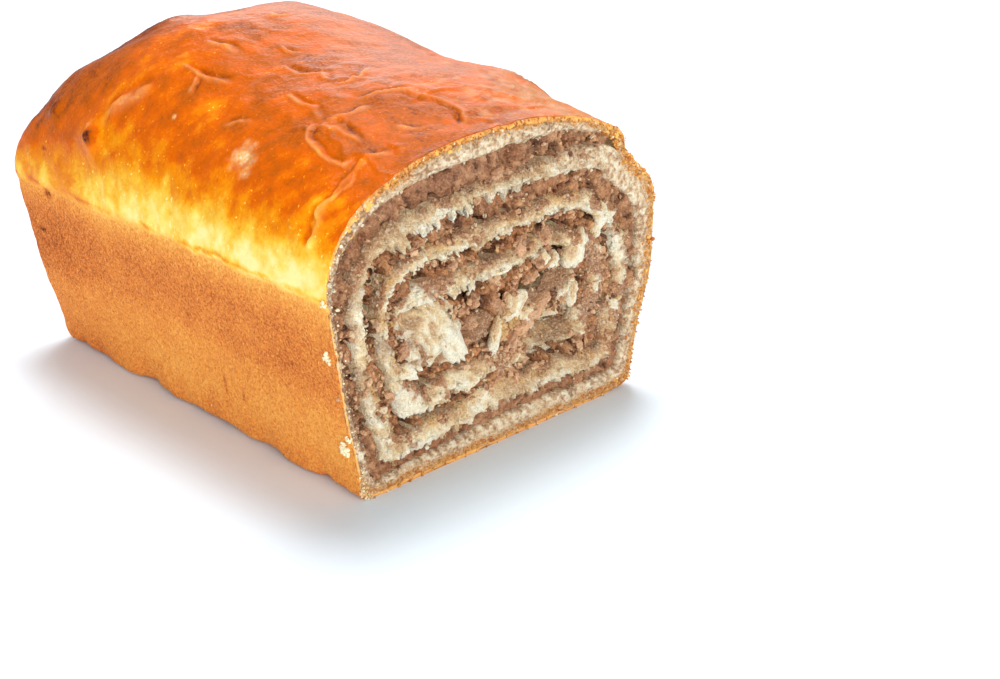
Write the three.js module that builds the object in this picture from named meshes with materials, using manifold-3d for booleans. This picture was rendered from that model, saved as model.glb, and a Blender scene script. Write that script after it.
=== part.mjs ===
// Walnut roll: a sheet of sweet yeast dough spread with ground walnuts, rolled up, baked in a loaf tin
// and cut across. Millimetres, +Z up. The cut face looks along -Y, the roll's axis runs along +Y,
// and the flat bottom stands on z = 0 with the origin under the middle of the loaf.

import * as THREE from "three";
import { LoftGeometry } from "three/addons/geometries/LoftGeometry.js";
import { mergeVertices } from "three/addons/utils/BufferGeometryUtils.js";
import Module from "manifold-3d";

// Lower part of the loaf, which has the flared shape of its tin
const RIM_HALF_WIDTH = 50;
const RIM_HEIGHT = 47;
const RIM_LENGTH = 132.5;
const BASE_HALF_WIDTH = 42.6;
const BASE_LENGTH = 126.5;
const BOTTOM_EDGE_RADIUS = 2.5;
const BACK_EDGE_RADIUS = 4.5;
const WALL_WAVE = 0.5;
const WALL_WAVE_LENGTH = 15;
const WALL_WAVE_HEIGHT = 9;

// Bulges of the walls: the right one where the knife pressed it, the left one at its far end (side -1).
const WALL_SWELLS = [
  { side: 1, height: 30, along: 0, heightSpread: 11, alongSpread: 16, rise: 3 },
  { side: -1, height: 24, along: 124, heightSpread: 14, alongSpread: 20, rise: 1.8 },
];

// Dome that rose over the tin's rim: the crown's height at even steps from the cut to the back
const CROWN_HEIGHTS = [74.3, 79.8, 82.3, 87.7, 87.8, 86.2];
const DOME_FULLNESS = 2.24;
const BACK_FALL_START = 68;
const BACK_FALL_END = 132.51;
const BACK_FALL_POWER = 3.4;
const RIM_FADE_ANGLE = 8;
const RELIEF_FULL_RISE = 47;
const DOME_ARC_PER_DEGREE = 0.77;

// Swells and hollows of the dome. Angles go round it in degrees, from 0 at the right rim to 180 at the left.
const DOME_SWELLS = [
  { angle: 20, along: 48, angleSpread: 12, alongSpread: 20, rise: 2.2 },
  { angle: 27, along: 0, angleSpread: 15, alongSpread: 18, rise: -6.4 },
  { angle: 118, along: 113, angleSpread: 11, alongSpread: 11, rise: -2.4 },
  { angle: 94, along: 102, angleSpread: 11, alongSpread: 10, rise: -2.2 },
  { angle: 107, along: 121, angleSpread: 9, alongSpread: 6, rise: 1.5 },
  { angle: 60, along: 75, angleSpread: 14, alongSpread: 14, rise: -1.2 },
  { angle: 160, along: 92.5, angleSpread: 6, alongSpread: 5, rise: 1.3 },
];

// Wrinkles of the baked skin, each a bent line from one [angle, along] by another to a third
const WRINKLES = [
  { from: [172, 9], by: [148, 6], to: [125, 11], rise: -1 },
  { from: [161, 93], by: [150, 84], to: [142, 82], rise: 0.7 },
  { from: [128, 78], by: [129, 66], to: [122, 58], rise: 0.9 },
  { from: [110, 53], by: [109, 46], to: [107, 41], rise: 0.9 },
  { from: [117, 45], by: [124, 38], to: [121, 30], rise: 0.8 },
  { from: [134, 25], by: [138, 12], to: [123, 12], rise: 0.9 },
  { from: [99, 22], by: [95, 13], to: [97, 4], rise: -1.1 },
];
const WRINKLE_HALF_WIDTH = 1.9;
const WRINKLE_STEPS = 10;

// Outer end of the rolled sheet, a step that runs along the right shoulder
const SEAM_ANGLE = 38;
const SEAM_WANDER = 5;
const SEAM_WANDER_LENGTH = 15;
const SEAM_STEP = 1.6;
const SEAM_SOFTNESS = 3;
const SEAM_SPREAD = 10;
const SEAM_LENGTH = 105;
const SEAM_FADE = 5;

// Spiral of filling. A share of 0 is the roll's flat core and a share of 1 is the loaf's outline.
const CORE_X = -4;
const CORE_Z = 36;
const CORE_HALF_WIDTH = 20;
const CORE_HALF_HEIGHT = 2;
const TAIL_ANGLE = THREE.MathUtils.degToRad(38);
const SPIRAL_TURNS = 3.36;
const TAIL_SHARE = 0.929;
const SHARE_PER_TURN = 0.252;
const SHARE_LOWER_AT_TOP = 0.055;
const SHARE_WIDER_AT_SIDES = 0.057;
const FILLING_SHARE = 0.12;
const FILLING_THICKER_AT_TOP = 0.2;
const TAIL_TAPER_TURNS = 0.06;
const TAIL_TAPER_SHARE = 0.5;
const HEART_START = 2.8;
const HEART_SHARE = 0.16;
const FILLING_END = 112;
const FIT_GAP = 0.3;

// Cut face: torn crumb, with the softer filling pulled back from the dough
const CRUMB_CELL = 4.6;
const CRUMB_SEED = 7;
const DOUGH_CRUMB = 0.8;
const FILLING_CRUMB = 1.4;
const FILLING_RECESS = 0.9;
const CUT_HOLLOWS = [
  { x: 17, z: 25, spread: 6.5, depth: 6 },
  { x: 38, z: 44.5, spread: 3.2, depth: 4 },
  { x: 2, z: 67, spread: 2.6, depth: 2.5 },
  { x: 19, z: 67, spread: 2.8, depth: 2.5 },
  { x: -14, z: 32, spread: 4, depth: 3 },
  { x: -23, z: 35, spread: 6, depth: -1.4 },
];
const KNIFE_WIDTH = 138;
const KNIFE_HEIGHT = 119.6;
const KNIFE_THICKNESS = 40;
const KNIFE_BELOW = 10;
const OVERCUT = 12;

// Fineness of the surfaces
const EDGE_STEPS = 2;
const WALL_STEPS = 6;
const DOME_STEPS = 24;
const SECTION_STEPS = 36;
const SECTION_CROWDING = 1.35;
const SPIRAL_STEPS_PER_TURN = 44;

// Finish of the two sub-parts
const CRUST_COLOUR = 0xc9722c;
const CRUST_ROUGHNESS = 0.5;
const FILLING_COLOUR = 0x8a6650;
const FILLING_ROUGHNESS = 0.9;

const wasm = await Module();
wasm.setup();

function bell(distance) {
  return Math.exp(-distance * distance);
}

// Height of the crown: it climbs from the cut towards the back and falls steeply to the rim at the end
const crownLine = new THREE.SplineCurve(CROWN_HEIGHTS.map((height, i) => new THREE.Vector2(i, height)));

function crownHeight(along) {
  const share = THREE.MathUtils.clamp(along / RIM_LENGTH, 0, 1);
  const run = Math.max(0, along - BACK_FALL_START) / (BACK_FALL_END - BACK_FALL_START);
  const fall = (1 - run ** BACK_FALL_POWER) ** (1 / BACK_FALL_POWER);
  return RIM_HEIGHT + (crownLine.getPoint(share).y - RIM_HEIGHT) * fall;
}

const wrinkleLines = WRINKLES.map(({ from, by, to, rise }) => {
  const toPoint = ([angle, along]) => new THREE.Vector2(angle * DOME_ARC_PER_DEGREE, along);
  const line = new THREE.QuadraticBezierCurve(toPoint(from), toPoint(by), toPoint(to));
  return { points: line.getPoints(WRINKLE_STEPS), rise };
});

// How far the dome's skin stands out of its smooth form
function domeRelief(angle, along) {
  let rise = 0;
  for (const swell of DOME_SWELLS) {
    const across = bell((angle - swell.angle) / swell.angleSpread);
    rise += swell.rise * across * bell((along - swell.along) / swell.alongSpread);
  }
  const spot = new THREE.Vector2(angle * DOME_ARC_PER_DEGREE, along);
  for (const wrinkle of wrinkleLines) {
    const distance = Math.min(...wrinkle.points.map((point) => point.distanceTo(spot)));
    rise += wrinkle.rise * bell(distance / WRINKLE_HALF_WIDTH);
  }
  const offSeam = angle - SEAM_ANGLE - SEAM_WANDER * Math.sin(along / SEAM_WANDER_LENGTH);
  const step = Math.tanh(offSeam / SEAM_SOFTNESS) * bell(offSeam / SEAM_SPREAD);
  rise += SEAM_STEP * step * THREE.MathUtils.smoothstep(SEAM_LENGTH - along, 0, SEAM_FADE);
  const rimFade = Math.min(1, angle / RIM_FADE_ANGLE, (180 - angle) / RIM_FADE_ANGLE);
  return rise * rimFade;
}

function wallRelief(side, height, along) {
  const fade = Math.sin((Math.PI * height) / RIM_HEIGHT);
  const wave = WALL_WAVE * Math.sin(along / WALL_WAVE_LENGTH + height / WALL_WAVE_HEIGHT + side);
  let rise = fade * wave;
  for (const swell of WALL_SWELLS.filter((one) => one.side === side)) {
    const upward = bell((height - swell.height) / swell.heightSpread);
    rise += swell.rise * upward * bell((along - swell.along) / swell.alongSpread);
  }
  return rise;
}

// Half of a section's outline, from the edge of the flat bottom by the tin's wall to the crown
function halfOutline(side, along) {
  const points = [];
  const flatHalf = BASE_HALF_WIDTH - BOTTOM_EDGE_RADIUS;
  const flare = (RIM_HALF_WIDTH - BASE_HALF_WIDTH) / RIM_HEIGHT;
  const wallAt = (height) => BASE_HALF_WIDTH + flare * height;
  const edge = new THREE.QuadraticBezierCurve(
    new THREE.Vector2(side * flatHalf, 0),
    new THREE.Vector2(side * BASE_HALF_WIDTH, 0),
    new THREE.Vector2(side * wallAt(BOTTOM_EDGE_RADIUS), BOTTOM_EDGE_RADIUS),
  );
  points.push(...edge.getPoints(EDGE_STEPS));
  for (let i = 1; i <= WALL_STEPS; i += 1) {
    const height = THREE.MathUtils.lerp(BOTTOM_EDGE_RADIUS, RIM_HEIGHT, i / WALL_STEPS);
    points.push(new THREE.Vector2(side * (wallAt(height) + wallRelief(side, height, along)), height));
  }
  const rise = crownHeight(along) - RIM_HEIGHT;
  for (let i = 1; i <= DOME_STEPS; i += 1) {
    const lift = ((Math.PI / 2) * i) / DOME_STEPS;
    const across = i < DOME_STEPS ? Math.cos(lift) ** (2 / DOME_FULLNESS) : 0;
    const up = Math.sin(lift) ** (2 / DOME_FULLNESS);
    const point = new THREE.Vector2(side * RIM_HALF_WIDTH * across, rise * up);
    const liftDegrees = THREE.MathUtils.radToDeg(lift);
    const angle = side > 0 ? liftDegrees : 180 - liftDegrees;
    const outward = point.clone().normalize();
    point.addScaledVector(outward, (domeRelief(angle, along) * rise) / RELIEF_FULL_RISE);
    points.push(point.add(new THREE.Vector2(0, RIM_HEIGHT)));
  }
  return points;
}

// A whole section's outline, from the bottom round by the left wall and the crown to the right
function outline(along) {
  const left = halfOutline(-1, along);
  const right = halfOutline(1, along);
  return [...left, ...right.reverse().slice(1)];
}

// Places a section's point in the loaf: the tin's end wall leans out, so lower points lie nearer the cut
function place(point, along) {
  const lean = THREE.MathUtils.lerp(BASE_LENGTH, RIM_LENGTH, Math.min(1, point.y / RIM_HEIGHT));
  return new THREE.Vector3(point.x, (along * lean) / RIM_LENGTH, point.y);
}

// The section drawn in towards its middle where the loaf's back edges are rounded
function roundedSection(along) {
  const past = Math.max(0, along - (RIM_LENGTH - BACK_EDGE_RADIUS)) / BACK_EDGE_RADIUS;
  const inset = BACK_EDGE_RADIUS * (1 - Math.sqrt(1 - past * past));
  const middle = new THREE.Vector2(0, RIM_HEIGHT / 2);
  const shrink = 1 - inset / middle.y;
  const narrow = 1 - inset / RIM_HALF_WIDTH;
  return outline(along).map((point) => {
    const drawn = point.clone().sub(middle).multiply(new THREE.Vector2(narrow, shrink)).add(middle);
    return place(drawn, along);
  });
}

function loafBody() {
  const sections = [roundedSection(-OVERCUT)];
  for (let i = 0; i <= SECTION_STEPS; i += 1) {
    const share = 1 - (1 - i / SECTION_STEPS) ** SECTION_CROWDING;
    sections.push(roundedSection(RIM_LENGTH * share));
  }
  return new LoftGeometry(sections, { capStart: true, capEnd: true });
}

// Distance from the roll's core to the outline in one direction
function reach(ring, direction) {
  let distance = 0;
  ring.forEach((start, i) => {
    const run = ring[(i + 1) % ring.length].clone().sub(start);
    const from = start.clone().sub(new THREE.Vector2(CORE_X, CORE_Z));
    const crossing = direction.cross(run);
    const along = from.cross(direction) / crossing;
    const out = from.cross(run) / crossing;
    if (along >= 0 && along <= 1 && out > distance) {
      distance = out;
    }
  });
  return distance;
}

// A point of the roll: the blend of its flat core and the loaf's outline by a share
function rollPoint(ring, angle, share) {
  const direction = new THREE.Vector2(Math.cos(angle), Math.sin(angle));
  const core = new THREE.Vector2(CORE_HALF_WIDTH * direction.x, CORE_HALF_HEIGHT * direction.y);
  const out = direction.clone().multiplyScalar(reach(ring, direction));
  return core.lerp(out, share).add(new THREE.Vector2(CORE_X, CORE_Z));
}

// Outline of the spiral band in a section: the inner edge from tail to heart, then the outer edge back
function bandOutline(along) {
  const ring = outline(along);
  const steps = Math.round(SPIRAL_TURNS * SPIRAL_STEPS_PER_TURN);
  const inner = [];
  const outer = [];
  for (let i = 0; i <= steps; i += 1) {
    const turn = (SPIRAL_TURNS * i) / steps;
    const angle = TAIL_ANGLE + 2 * Math.PI * turn;
    const waist = SHARE_WIDER_AT_SIDES * Math.cos(2 * angle) - SHARE_LOWER_AT_TOP * Math.sin(angle);
    const middle = TAIL_SHARE - SHARE_PER_TURN * turn + waist;
    const taper = THREE.MathUtils.clamp(turn / TAIL_TAPER_TURNS, TAIL_TAPER_SHARE, 1);
    const half = (FILLING_SHARE / 2) * taper * (1 + FILLING_THICKER_AT_TOP * Math.sin(angle));
    const heart = HEART_SHARE * THREE.MathUtils.smoothstep(turn, HEART_START, SPIRAL_TURNS);
    inner.push(rollPoint(ring, angle, middle - half - heart));
    outer.push(rollPoint(ring, angle, middle + half));
  }
  return [...inner, ...outer.reverse()];
}

// An outline with each corner moved out by a margin, square to the run past it
function widened(points, margin) {
  return points.map((point, i) => {
    const before = points.at(i - 1);
    const after = points[(i + 1) % points.length];
    const run = after.clone().sub(before).normalize();
    return new THREE.Vector2(point.x - run.y * margin, point.y + run.x * margin);
  });
}

function spiralBand(margin) {
  const stations = [-OVERCUT, FILLING_END / 2, FILLING_END];
  const sections = stations.map((along) => {
    const end = along === FILLING_END ? along + margin : along;
    return widened(bandOutline(along), margin).map((point) => new THREE.Vector3(point.x, end, point.y));
  });
  return new LoftGeometry(sections, { capStart: true, capEnd: true });
}

function hollowDepth(x, z) {
  let depth = 0;
  for (const hollow of CUT_HOLLOWS) {
    depth += hollow.depth * bell(Math.hypot(x - hollow.x, z - hollow.z) / hollow.spread);
  }
  return depth;
}

// Knife whose far face is the torn surface it leaves
function tearingKnife(crumb, recess) {
  const across = Math.round(KNIFE_WIDTH / CRUMB_CELL);
  const up = Math.round(KNIFE_HEIGHT / CRUMB_CELL);
  const knife = new THREE.BoxGeometry(KNIFE_WIDTH, KNIFE_THICKNESS, KNIFE_HEIGHT, across, 1, up);
  const middleHeight = KNIFE_HEIGHT / 2 - KNIFE_BELOW;
  knife.translate(0, -KNIFE_THICKNESS / 2, middleHeight);
  const spots = knife.attributes.position;
  THREE.MathUtils.seededRandom(CRUMB_SEED);
  for (let i = 0; i < spots.count; i += 1) {
    const x = spots.getX(i);
    const z = spots.getZ(i);
    const offSide = Math.abs(x) < (KNIFE_WIDTH - CRUMB_CELL) / 2;
    const offEnds = Math.abs(z - middleHeight) < (KNIFE_HEIGHT - CRUMB_CELL) / 2;
    const rough = (THREE.MathUtils.seededRandom() - 0.5) * crumb;
    if (spots.getY(i) === 0 && offSide && offEnds) {
      spots.setY(i, recess + rough + hollowDepth(x, z));
    }
  }
  return knife;
}

function toSolid(geometry) {
  const bare = new THREE.BufferGeometry();
  bare.setAttribute("position", geometry.attributes.position);
  bare.setIndex(geometry.index);
  const merged = mergeVertices(bare);
  const vertProperties = new Float32Array(merged.attributes.position.array);
  const triVerts = new Uint32Array(merged.index.array);
  return new wasm.Manifold(new wasm.Mesh({ numProp: 3, vertProperties, triVerts }));
}

function toMesh(solid, name, colour, roughness) {
  const { vertProperties, triVerts } = solid.getMesh();
  const geometry = new THREE.BufferGeometry();
  geometry.setAttribute("position", new THREE.BufferAttribute(vertProperties, 3));
  geometry.setIndex(new THREE.BufferAttribute(triVerts, 1));
  geometry.computeVertexNormals();
  const material = new THREE.MeshStandardMaterial({ color: colour, roughness, metalness: 0 });
  const mesh = new THREE.Mesh(geometry, material);
  mesh.name = name;
  return mesh;
}

// Dough: the baked loaf with the spiral channel that the filling fills
const dough = toSolid(loafBody())
  .subtract(toSolid(spiralBand(FIT_GAP / 2)))
  .subtract(toSolid(tearingKnife(DOUGH_CRUMB, 0)));

// Filling: the ground walnut layer, rolled up with the dough
const filling = toSolid(spiralBand(-FIT_GAP / 2))
  .subtract(toSolid(tearingKnife(FILLING_CRUMB, FILLING_RECESS)));

const loaf = new THREE.Group();
loaf.add(toMesh(dough, "dough", CRUST_COLOUR, CRUST_ROUGHNESS));
loaf.add(toMesh(filling, "walnut_filling", FILLING_COLOUR, FILLING_ROUGHNESS));
const middle = new THREE.Box3().setFromObject(loaf).getCenter(new THREE.Vector3());
loaf.position.set(-middle.x, -middle.y, 0);

export default loaf;
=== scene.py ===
"""Walnut roll: a sheet of sweet yeast dough spread with ground walnuts, rolled up, baked in a tin and cut.

Lengths are millimetres in the formulas and metres in the meshes. "Along" runs from the cut face to the back.
"""

import bpy
import numpy as np
from mathutils import Matrix


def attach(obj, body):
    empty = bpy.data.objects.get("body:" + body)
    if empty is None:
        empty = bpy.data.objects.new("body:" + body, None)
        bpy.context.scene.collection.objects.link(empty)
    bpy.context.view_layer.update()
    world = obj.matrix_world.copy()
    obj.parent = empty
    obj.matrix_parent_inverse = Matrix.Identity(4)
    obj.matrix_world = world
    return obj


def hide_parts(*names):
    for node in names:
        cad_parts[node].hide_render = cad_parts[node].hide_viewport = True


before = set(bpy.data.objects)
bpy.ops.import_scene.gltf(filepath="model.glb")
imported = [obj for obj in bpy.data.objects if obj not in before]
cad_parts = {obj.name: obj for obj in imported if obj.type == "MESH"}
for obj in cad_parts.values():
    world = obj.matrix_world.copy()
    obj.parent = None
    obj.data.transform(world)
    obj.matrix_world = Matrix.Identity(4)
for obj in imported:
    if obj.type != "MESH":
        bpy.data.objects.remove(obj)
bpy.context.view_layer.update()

# Crust: the browned skin of the loaf, a closed cup that is open at the cut. Its lower walls took the flared
# shape of the tin and stayed matt, and the dome that rose over the rim was brushed with egg, so it shines.
MM = 0.001
CUT_PLANE = -65.37
RIM_HALF_WIDTH, RIM_HEIGHT, RIM_LENGTH = 50.0, 47.0, 132.5
BASE_HALF_WIDTH, BASE_LENGTH = 42.6, 126.5
BOTTOM_EDGE_RADIUS, BACK_EDGE_RADIUS = 2.5, 4.5
MIDDLE_Z = RIM_HEIGHT / 2
WALL_WAVE, WALL_WAVE_LENGTH, WALL_WAVE_HEIGHT = 0.5, 15.0, 9.0
# Bulges of the walls: side, height, along, spread in height, spread along, rise
WALL_SWELLS = [(1, 30, 0, 11, 16, 3.0), (-1, 24, 124, 14, 20, 1.8)]
CROWN_HEIGHTS = np.array([74.3, 79.8, 82.3, 87.7, 87.8, 86.2])
DOME_FULLNESS = 2.24
BACK_FALL_START, BACK_FALL_END, BACK_FALL_POWER = 68.0, 132.51, 3.4
RIM_FADE_ANGLE = 8.0
RELIEF_FULL_RISE = 47.0
ARC_PER_DEGREE = 0.77
# Swells and hollows of the dome: angle from the right rim (0) to the left one (180), along, spreads, rise
DOME_SWELLS = [
    (20, 48, 12, 20, 2.2), (27, 0, 15, 18, -6.4), (118, 113, 11, 11, -2.4), (94, 102, 11, 10, -2.2),
    (107, 121, 9, 6, 1.5), (60, 75, 14, 14, -1.2), (160, 92.5, 6, 5, 1.3), (146, 125, 9, 6, -1.5),
    (108, 120, 6, 5, -1.3), (101, 112, 6, 6, 1.4), (78, 96, 10, 9, 0.9), (58, 74, 9, 12, 1.2),
    (53, 33, 7, 8, 2.2), (48, 16, 6, 7, -3.0),
]
# Wrinkles of the skin: (angle, along) points of a bent line, rise, half width
WRINKLES = [
    ([(126.6, 76), (126.6, 68.7), (126.6, 64), (122.7, 58)], 0.75, 0.65),
    ([(126.6, 69), (131.4, 66.4), (135.4, 66.4)], 0.45, 0.65),
    ([(108.3, 55), (109.1, 47.5), (105.1, 44.5), (105.9, 39.5)], 0.85, 0.65),
    ([(118.7, 43), (121.1, 35.5), (120.3, 31.5), (122.7, 27)], 0.85, 0.65),
    ([(124.2, 27.6), (130.6, 25.2), (133.8, 18.6), (132.2, 12.6), (128.2, 12)], 0.75, 0.62),
    ([(123.5, 27.2), (121.9, 22.9), (121.9, 17.6), (122.7, 13.9)], 0.5, 0.62),
    ([(125.8, 11.3), (134.6, 10.6), (145, 9.6), (155.3, 8.6), (166, 8.8)], -0.8, 0.62),
    ([(125.8, 9.6), (135.4, 7.6), (145.8, 7.3)], 0.3, 0.5),
    ([(124.2, 11.6), (121.9, 9), (120.3, 6.6)], 0.7, 0.62),
    ([(122.7, 26.6), (116.3, 23.6), (109.9, 21.6)], 0.45, 0.55),
    ([(106.7, 37.5), (99.6, 36.5), (93.2, 41.5)], 0.45, 0.55),
    ([(110.7, 26.6), (102.7, 24.6), (94.8, 22.6)], 0.45, 0.55),
    ([(99, 23), (95.5, 13), (97, 4)], -1.0, 0.65),
    ([(101.9, 63), (101.9, 59.8), (99.6, 57)], 0.7, 0.62),
    ([(152.1, 88), (145, 83.4), (137.8, 77.7)], 0.7, 1.6),
    ([(91.6, 83), (92.5, 78), (87, 77.7)], 0.5, 0.65),
    ([(116, 78), (113, 72), (114, 66)], 0.4, 0.65),
    ([(138, 50), (134, 47), (133, 42)], 0.35, 0.65),
    ([(112, 14), (108, 10), (104, 9)], 0.4, 0.55),
]
WRINKLE_RISE = 1.05
WRINKLE_TROUGH, WRINKLE_TROUGH_OFF = 0.8, 1.9
WRINKLE_ENDS = 3.0
SEAM_ANGLE, SEAM_WANDER, SEAM_WANDER_LENGTH = 38.0, 5.0, 15.0
SEAM_STEP, SEAM_SOFTNESS, SEAM_SPREAD = 1.6, 3.0, 10.0
SEAM_LENGTH, SEAM_FADE = 105.0, 5.0
# Points of an outline and rows of them
BOTTOM_STEPS, EDGE_STEPS = 12, 5
WALL_STEPS = {-1: 64, 1: 40}
DOME_STEPS = {-1: 150, 1: 84}
WALL_TOP_COLUMN = BOTTOM_STEPS + EDGE_STEPS + WALL_STEPS[-1]
FRONT_LENGTH, FRONT_ROWS, BACK_ROWS, CAP_ROWS = 96.0, 182, 38, 16
BACK_CROWDING = 1.5
CRUST_THICKNESS = 2.0
CRUST_RIM = np.array([[2.4], [1.9], [1.4], [0.9], [0.45], [0.15]])
INNER_STATIONS = np.array([124.0, 116, 104, 92, 78, 64, 52, 42, 33, 25, 18, 12, 7, 3])
CORE_X, CORE_Z = -4.0, 36.0
# Random swells of the skin: rows of height, cell, octaves, seed
LINE_WANDER_ROUND = [(1.3, 5.0, 1, 201), (0.6, 2.0, 1, 203)]
LINE_WANDER_ALONG = [(1.3, 5.0, 1, 202), (0.6, 2.0, 1, 204)]
LINE_STRENGTH = [(0.8, 4.0, 1, 205)]
RIM_WANDER = [(0.9, 9.0, 1, 12), (0.6, 2.6, 3, 13)]
PEEL = [(0.3, 7.0, 2, 21), (0.16, 3.0, 3, 24)]
GRIT = [(0.16, 2.2, 3, 27)]
FOOT_SWELLS = [(0.8, 11.0, 1, 17), (0.4, 4.0, 1, 18)]
GRIT_PITS = 0.25
SKIN_CREASE = 0.3
LIP_UNDERCUT, LIP_HEIGHT, LIP_LAP = 0.5, 5, 0.6
FOOT_SPREAD, FOOT_LIFT, FOOT_HEIGHT = 0.7, 0.9, 10
RIM_BLUR, RIM_BLUR_SWING = 0.5, 1.6
CREASE_BEND, CREASE_LEVEL = 1.6, 0.86
CAP_DIMPLES = 0.3
RIM_RAGGEDNESS, RIM_FORWARD = 0.6, 0.15


def bell(distance):
    """A bump that is 1 at distance 0 and fades with the exponential of minus the distance's square."""
    return np.exp(-distance * distance)


def ease(value, low, high):
    """0 up to low, 1 from high on, and the smooth S of 3t squared minus 2t cubed between them."""
    part = np.clip((value - low) / (high - low), 0, 1)
    return part * part * (3 - 2 * part)


def lattice(points, cell, seed):
    """Random swell from -1 to 1: seeded values at the corners of cubes of one cell, eased between them."""
    values = np.random.default_rng(seed).uniform(-1, 1, (32, 32, 32))
    place = points / cell
    corner = np.floor(place).astype(int)
    part = place - corner
    part = part * part * (3 - 2 * part)
    total = np.zeros(points.shape[:-1])
    for step in np.ndindex(2, 2, 2):
        weight = np.prod(np.where(step, part, 1 - part), axis=-1)
        i, j, k = np.moveaxis((corner + step) % 32, -1, 0)
        total += weight * values[i, j, k]
    return total


def fractal(points, cell, octaves, seed):
    """The sum of random swells, each with half the cell and half the height of the one before."""
    return sum(lattice(points, cell / 2**i, seed + i) / 2**i for i in range(octaves))


def swells(points, rows):
    """The sum of several such swells, from rows of height, cell, octaves and seed."""
    return sum(height * fractal(points, cell, octaves, seed) for height, cell, octaves, seed in rows)


def crown_height(along):
    """A Catmull-Rom line through the crown heights, drawn down to the back rim along a superellipse."""
    last = len(CROWN_HEIGHTS) - 1
    place = np.clip(along / RIM_LENGTH, 0, 1) * last
    step = np.minimum(np.floor(place).astype(int), last - 1)
    part = place - step
    before, start, end, after = (CROWN_HEIGHTS[np.clip(step + shift, 0, last)] for shift in (-1, 0, 1, 2))
    leave = (end - before) / 2
    arrive = (after - start) / 2
    cubic = (2 * start - 2 * end + leave + arrive) * part**3
    square = (3 * end - 3 * start - 2 * leave - arrive) * part**2
    line = cubic + square + leave * part + start
    run = np.clip(along - BACK_FALL_START, 0, None) / (BACK_FALL_END - BACK_FALL_START)
    fall = (1 - run**BACK_FALL_POWER) ** (1 / BACK_FALL_POWER)
    return RIM_HEIGHT + (line - RIM_HEIGHT) * fall


def wandering(angle, along):
    """Places on the unrolled dome shifted by random swells, so that lines wander, and an uneven strength."""
    spread = np.stack(np.broadcast_arrays(angle * ARC_PER_DEGREE, along, 5.0), -1)
    bent = angle + swells(spread, LINE_WANDER_ROUND) / ARC_PER_DEGREE
    return bent, along + swells(spread, LINE_WANDER_ALONG), 1 + swells(spread, LINE_STRENGTH)


def wrinkle(angle, along, points, half_width):
    """A crease along a line of (angle, along) points on the unrolled dome.

    It is a bell of the distance to the line's nearest piece, with a lower trough on the line's right, and it
    fades towards the line's ends.
    """
    line = np.array(points, float) * (ARC_PER_DEGREE, 1)
    step = np.diff(line, axis=0)
    length = np.hypot(step[:, 0], step[:, 1])
    passed = np.concatenate([[0], np.cumsum(length)])
    crease = np.zeros(np.broadcast(angle, along).shape)
    closest = np.full(crease.shape, 99.0)
    for i in range(len(step)):
        off_x = angle * ARC_PER_DEGREE - line[i, 0]
        off_y = along - line[i, 1]
        part = np.clip((off_x * step[i, 0] + off_y * step[i, 1]) / length[i] ** 2, 0, 1)
        gap = np.hypot(off_x - part * step[i, 0], off_y - part * step[i, 1])
        side = gap * np.sign(off_x * step[i, 1] - off_y * step[i, 0])
        run = passed[i] + part * length[i]
        fade = ease(np.minimum(run, passed[-1] - run), -0.3, WRINKLE_ENDS)
        trough = bell((side - WRINKLE_TROUGH_OFF * half_width) / half_width)
        form = fade * (bell(gap / half_width) - WRINKLE_TROUGH * trough)
        crease = np.where(gap < closest, form, crease)
        closest = np.minimum(closest, gap)
    return crease


def dome_relief(angle, along):
    """How far the skin stands out: bell-shaped swells, wrinkles on bent lines, and the step of the seam."""
    rise = np.zeros(np.broadcast(angle, along).shape)
    for middle, place, angle_spread, along_spread, height in DOME_SWELLS:
        rise += height * bell((angle - middle) / angle_spread) * bell((along - place) / along_spread)
    bent, shifted, strength = wandering(angle, along)
    for points, height, half_width in WRINKLES:
        rise += WRINKLE_RISE * height * strength * wrinkle(bent, shifted, points, half_width)
    off_seam = angle - SEAM_ANGLE - SEAM_WANDER * np.sin(along / SEAM_WANDER_LENGTH)
    step = np.tanh(off_seam / SEAM_SOFTNESS) * bell(off_seam / SEAM_SPREAD)
    rise += SEAM_STEP * step * ease(SEAM_LENGTH - along, 0, SEAM_FADE)
    return rise * np.clip(np.minimum(angle, 180 - angle) / RIM_FADE_ANGLE, 0, 1)


def wall_relief(side, height, along):
    """How far a wall stands out: a long low wave that fades at the rim and the bottom, and bell swells."""
    wave = np.sin(along / WALL_WAVE_LENGTH + height / WALL_WAVE_HEIGHT + side)
    rise = WALL_WAVE * wave * np.sin(np.pi * height / RIM_HEIGHT)
    for wall, middle, place, height_spread, along_spread, swell in WALL_SWELLS:
        if wall == side:
            form = bell((height - middle) / height_spread) * bell((along - place) / along_spread)
            rise = rise + swell * form
    return rise


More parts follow.
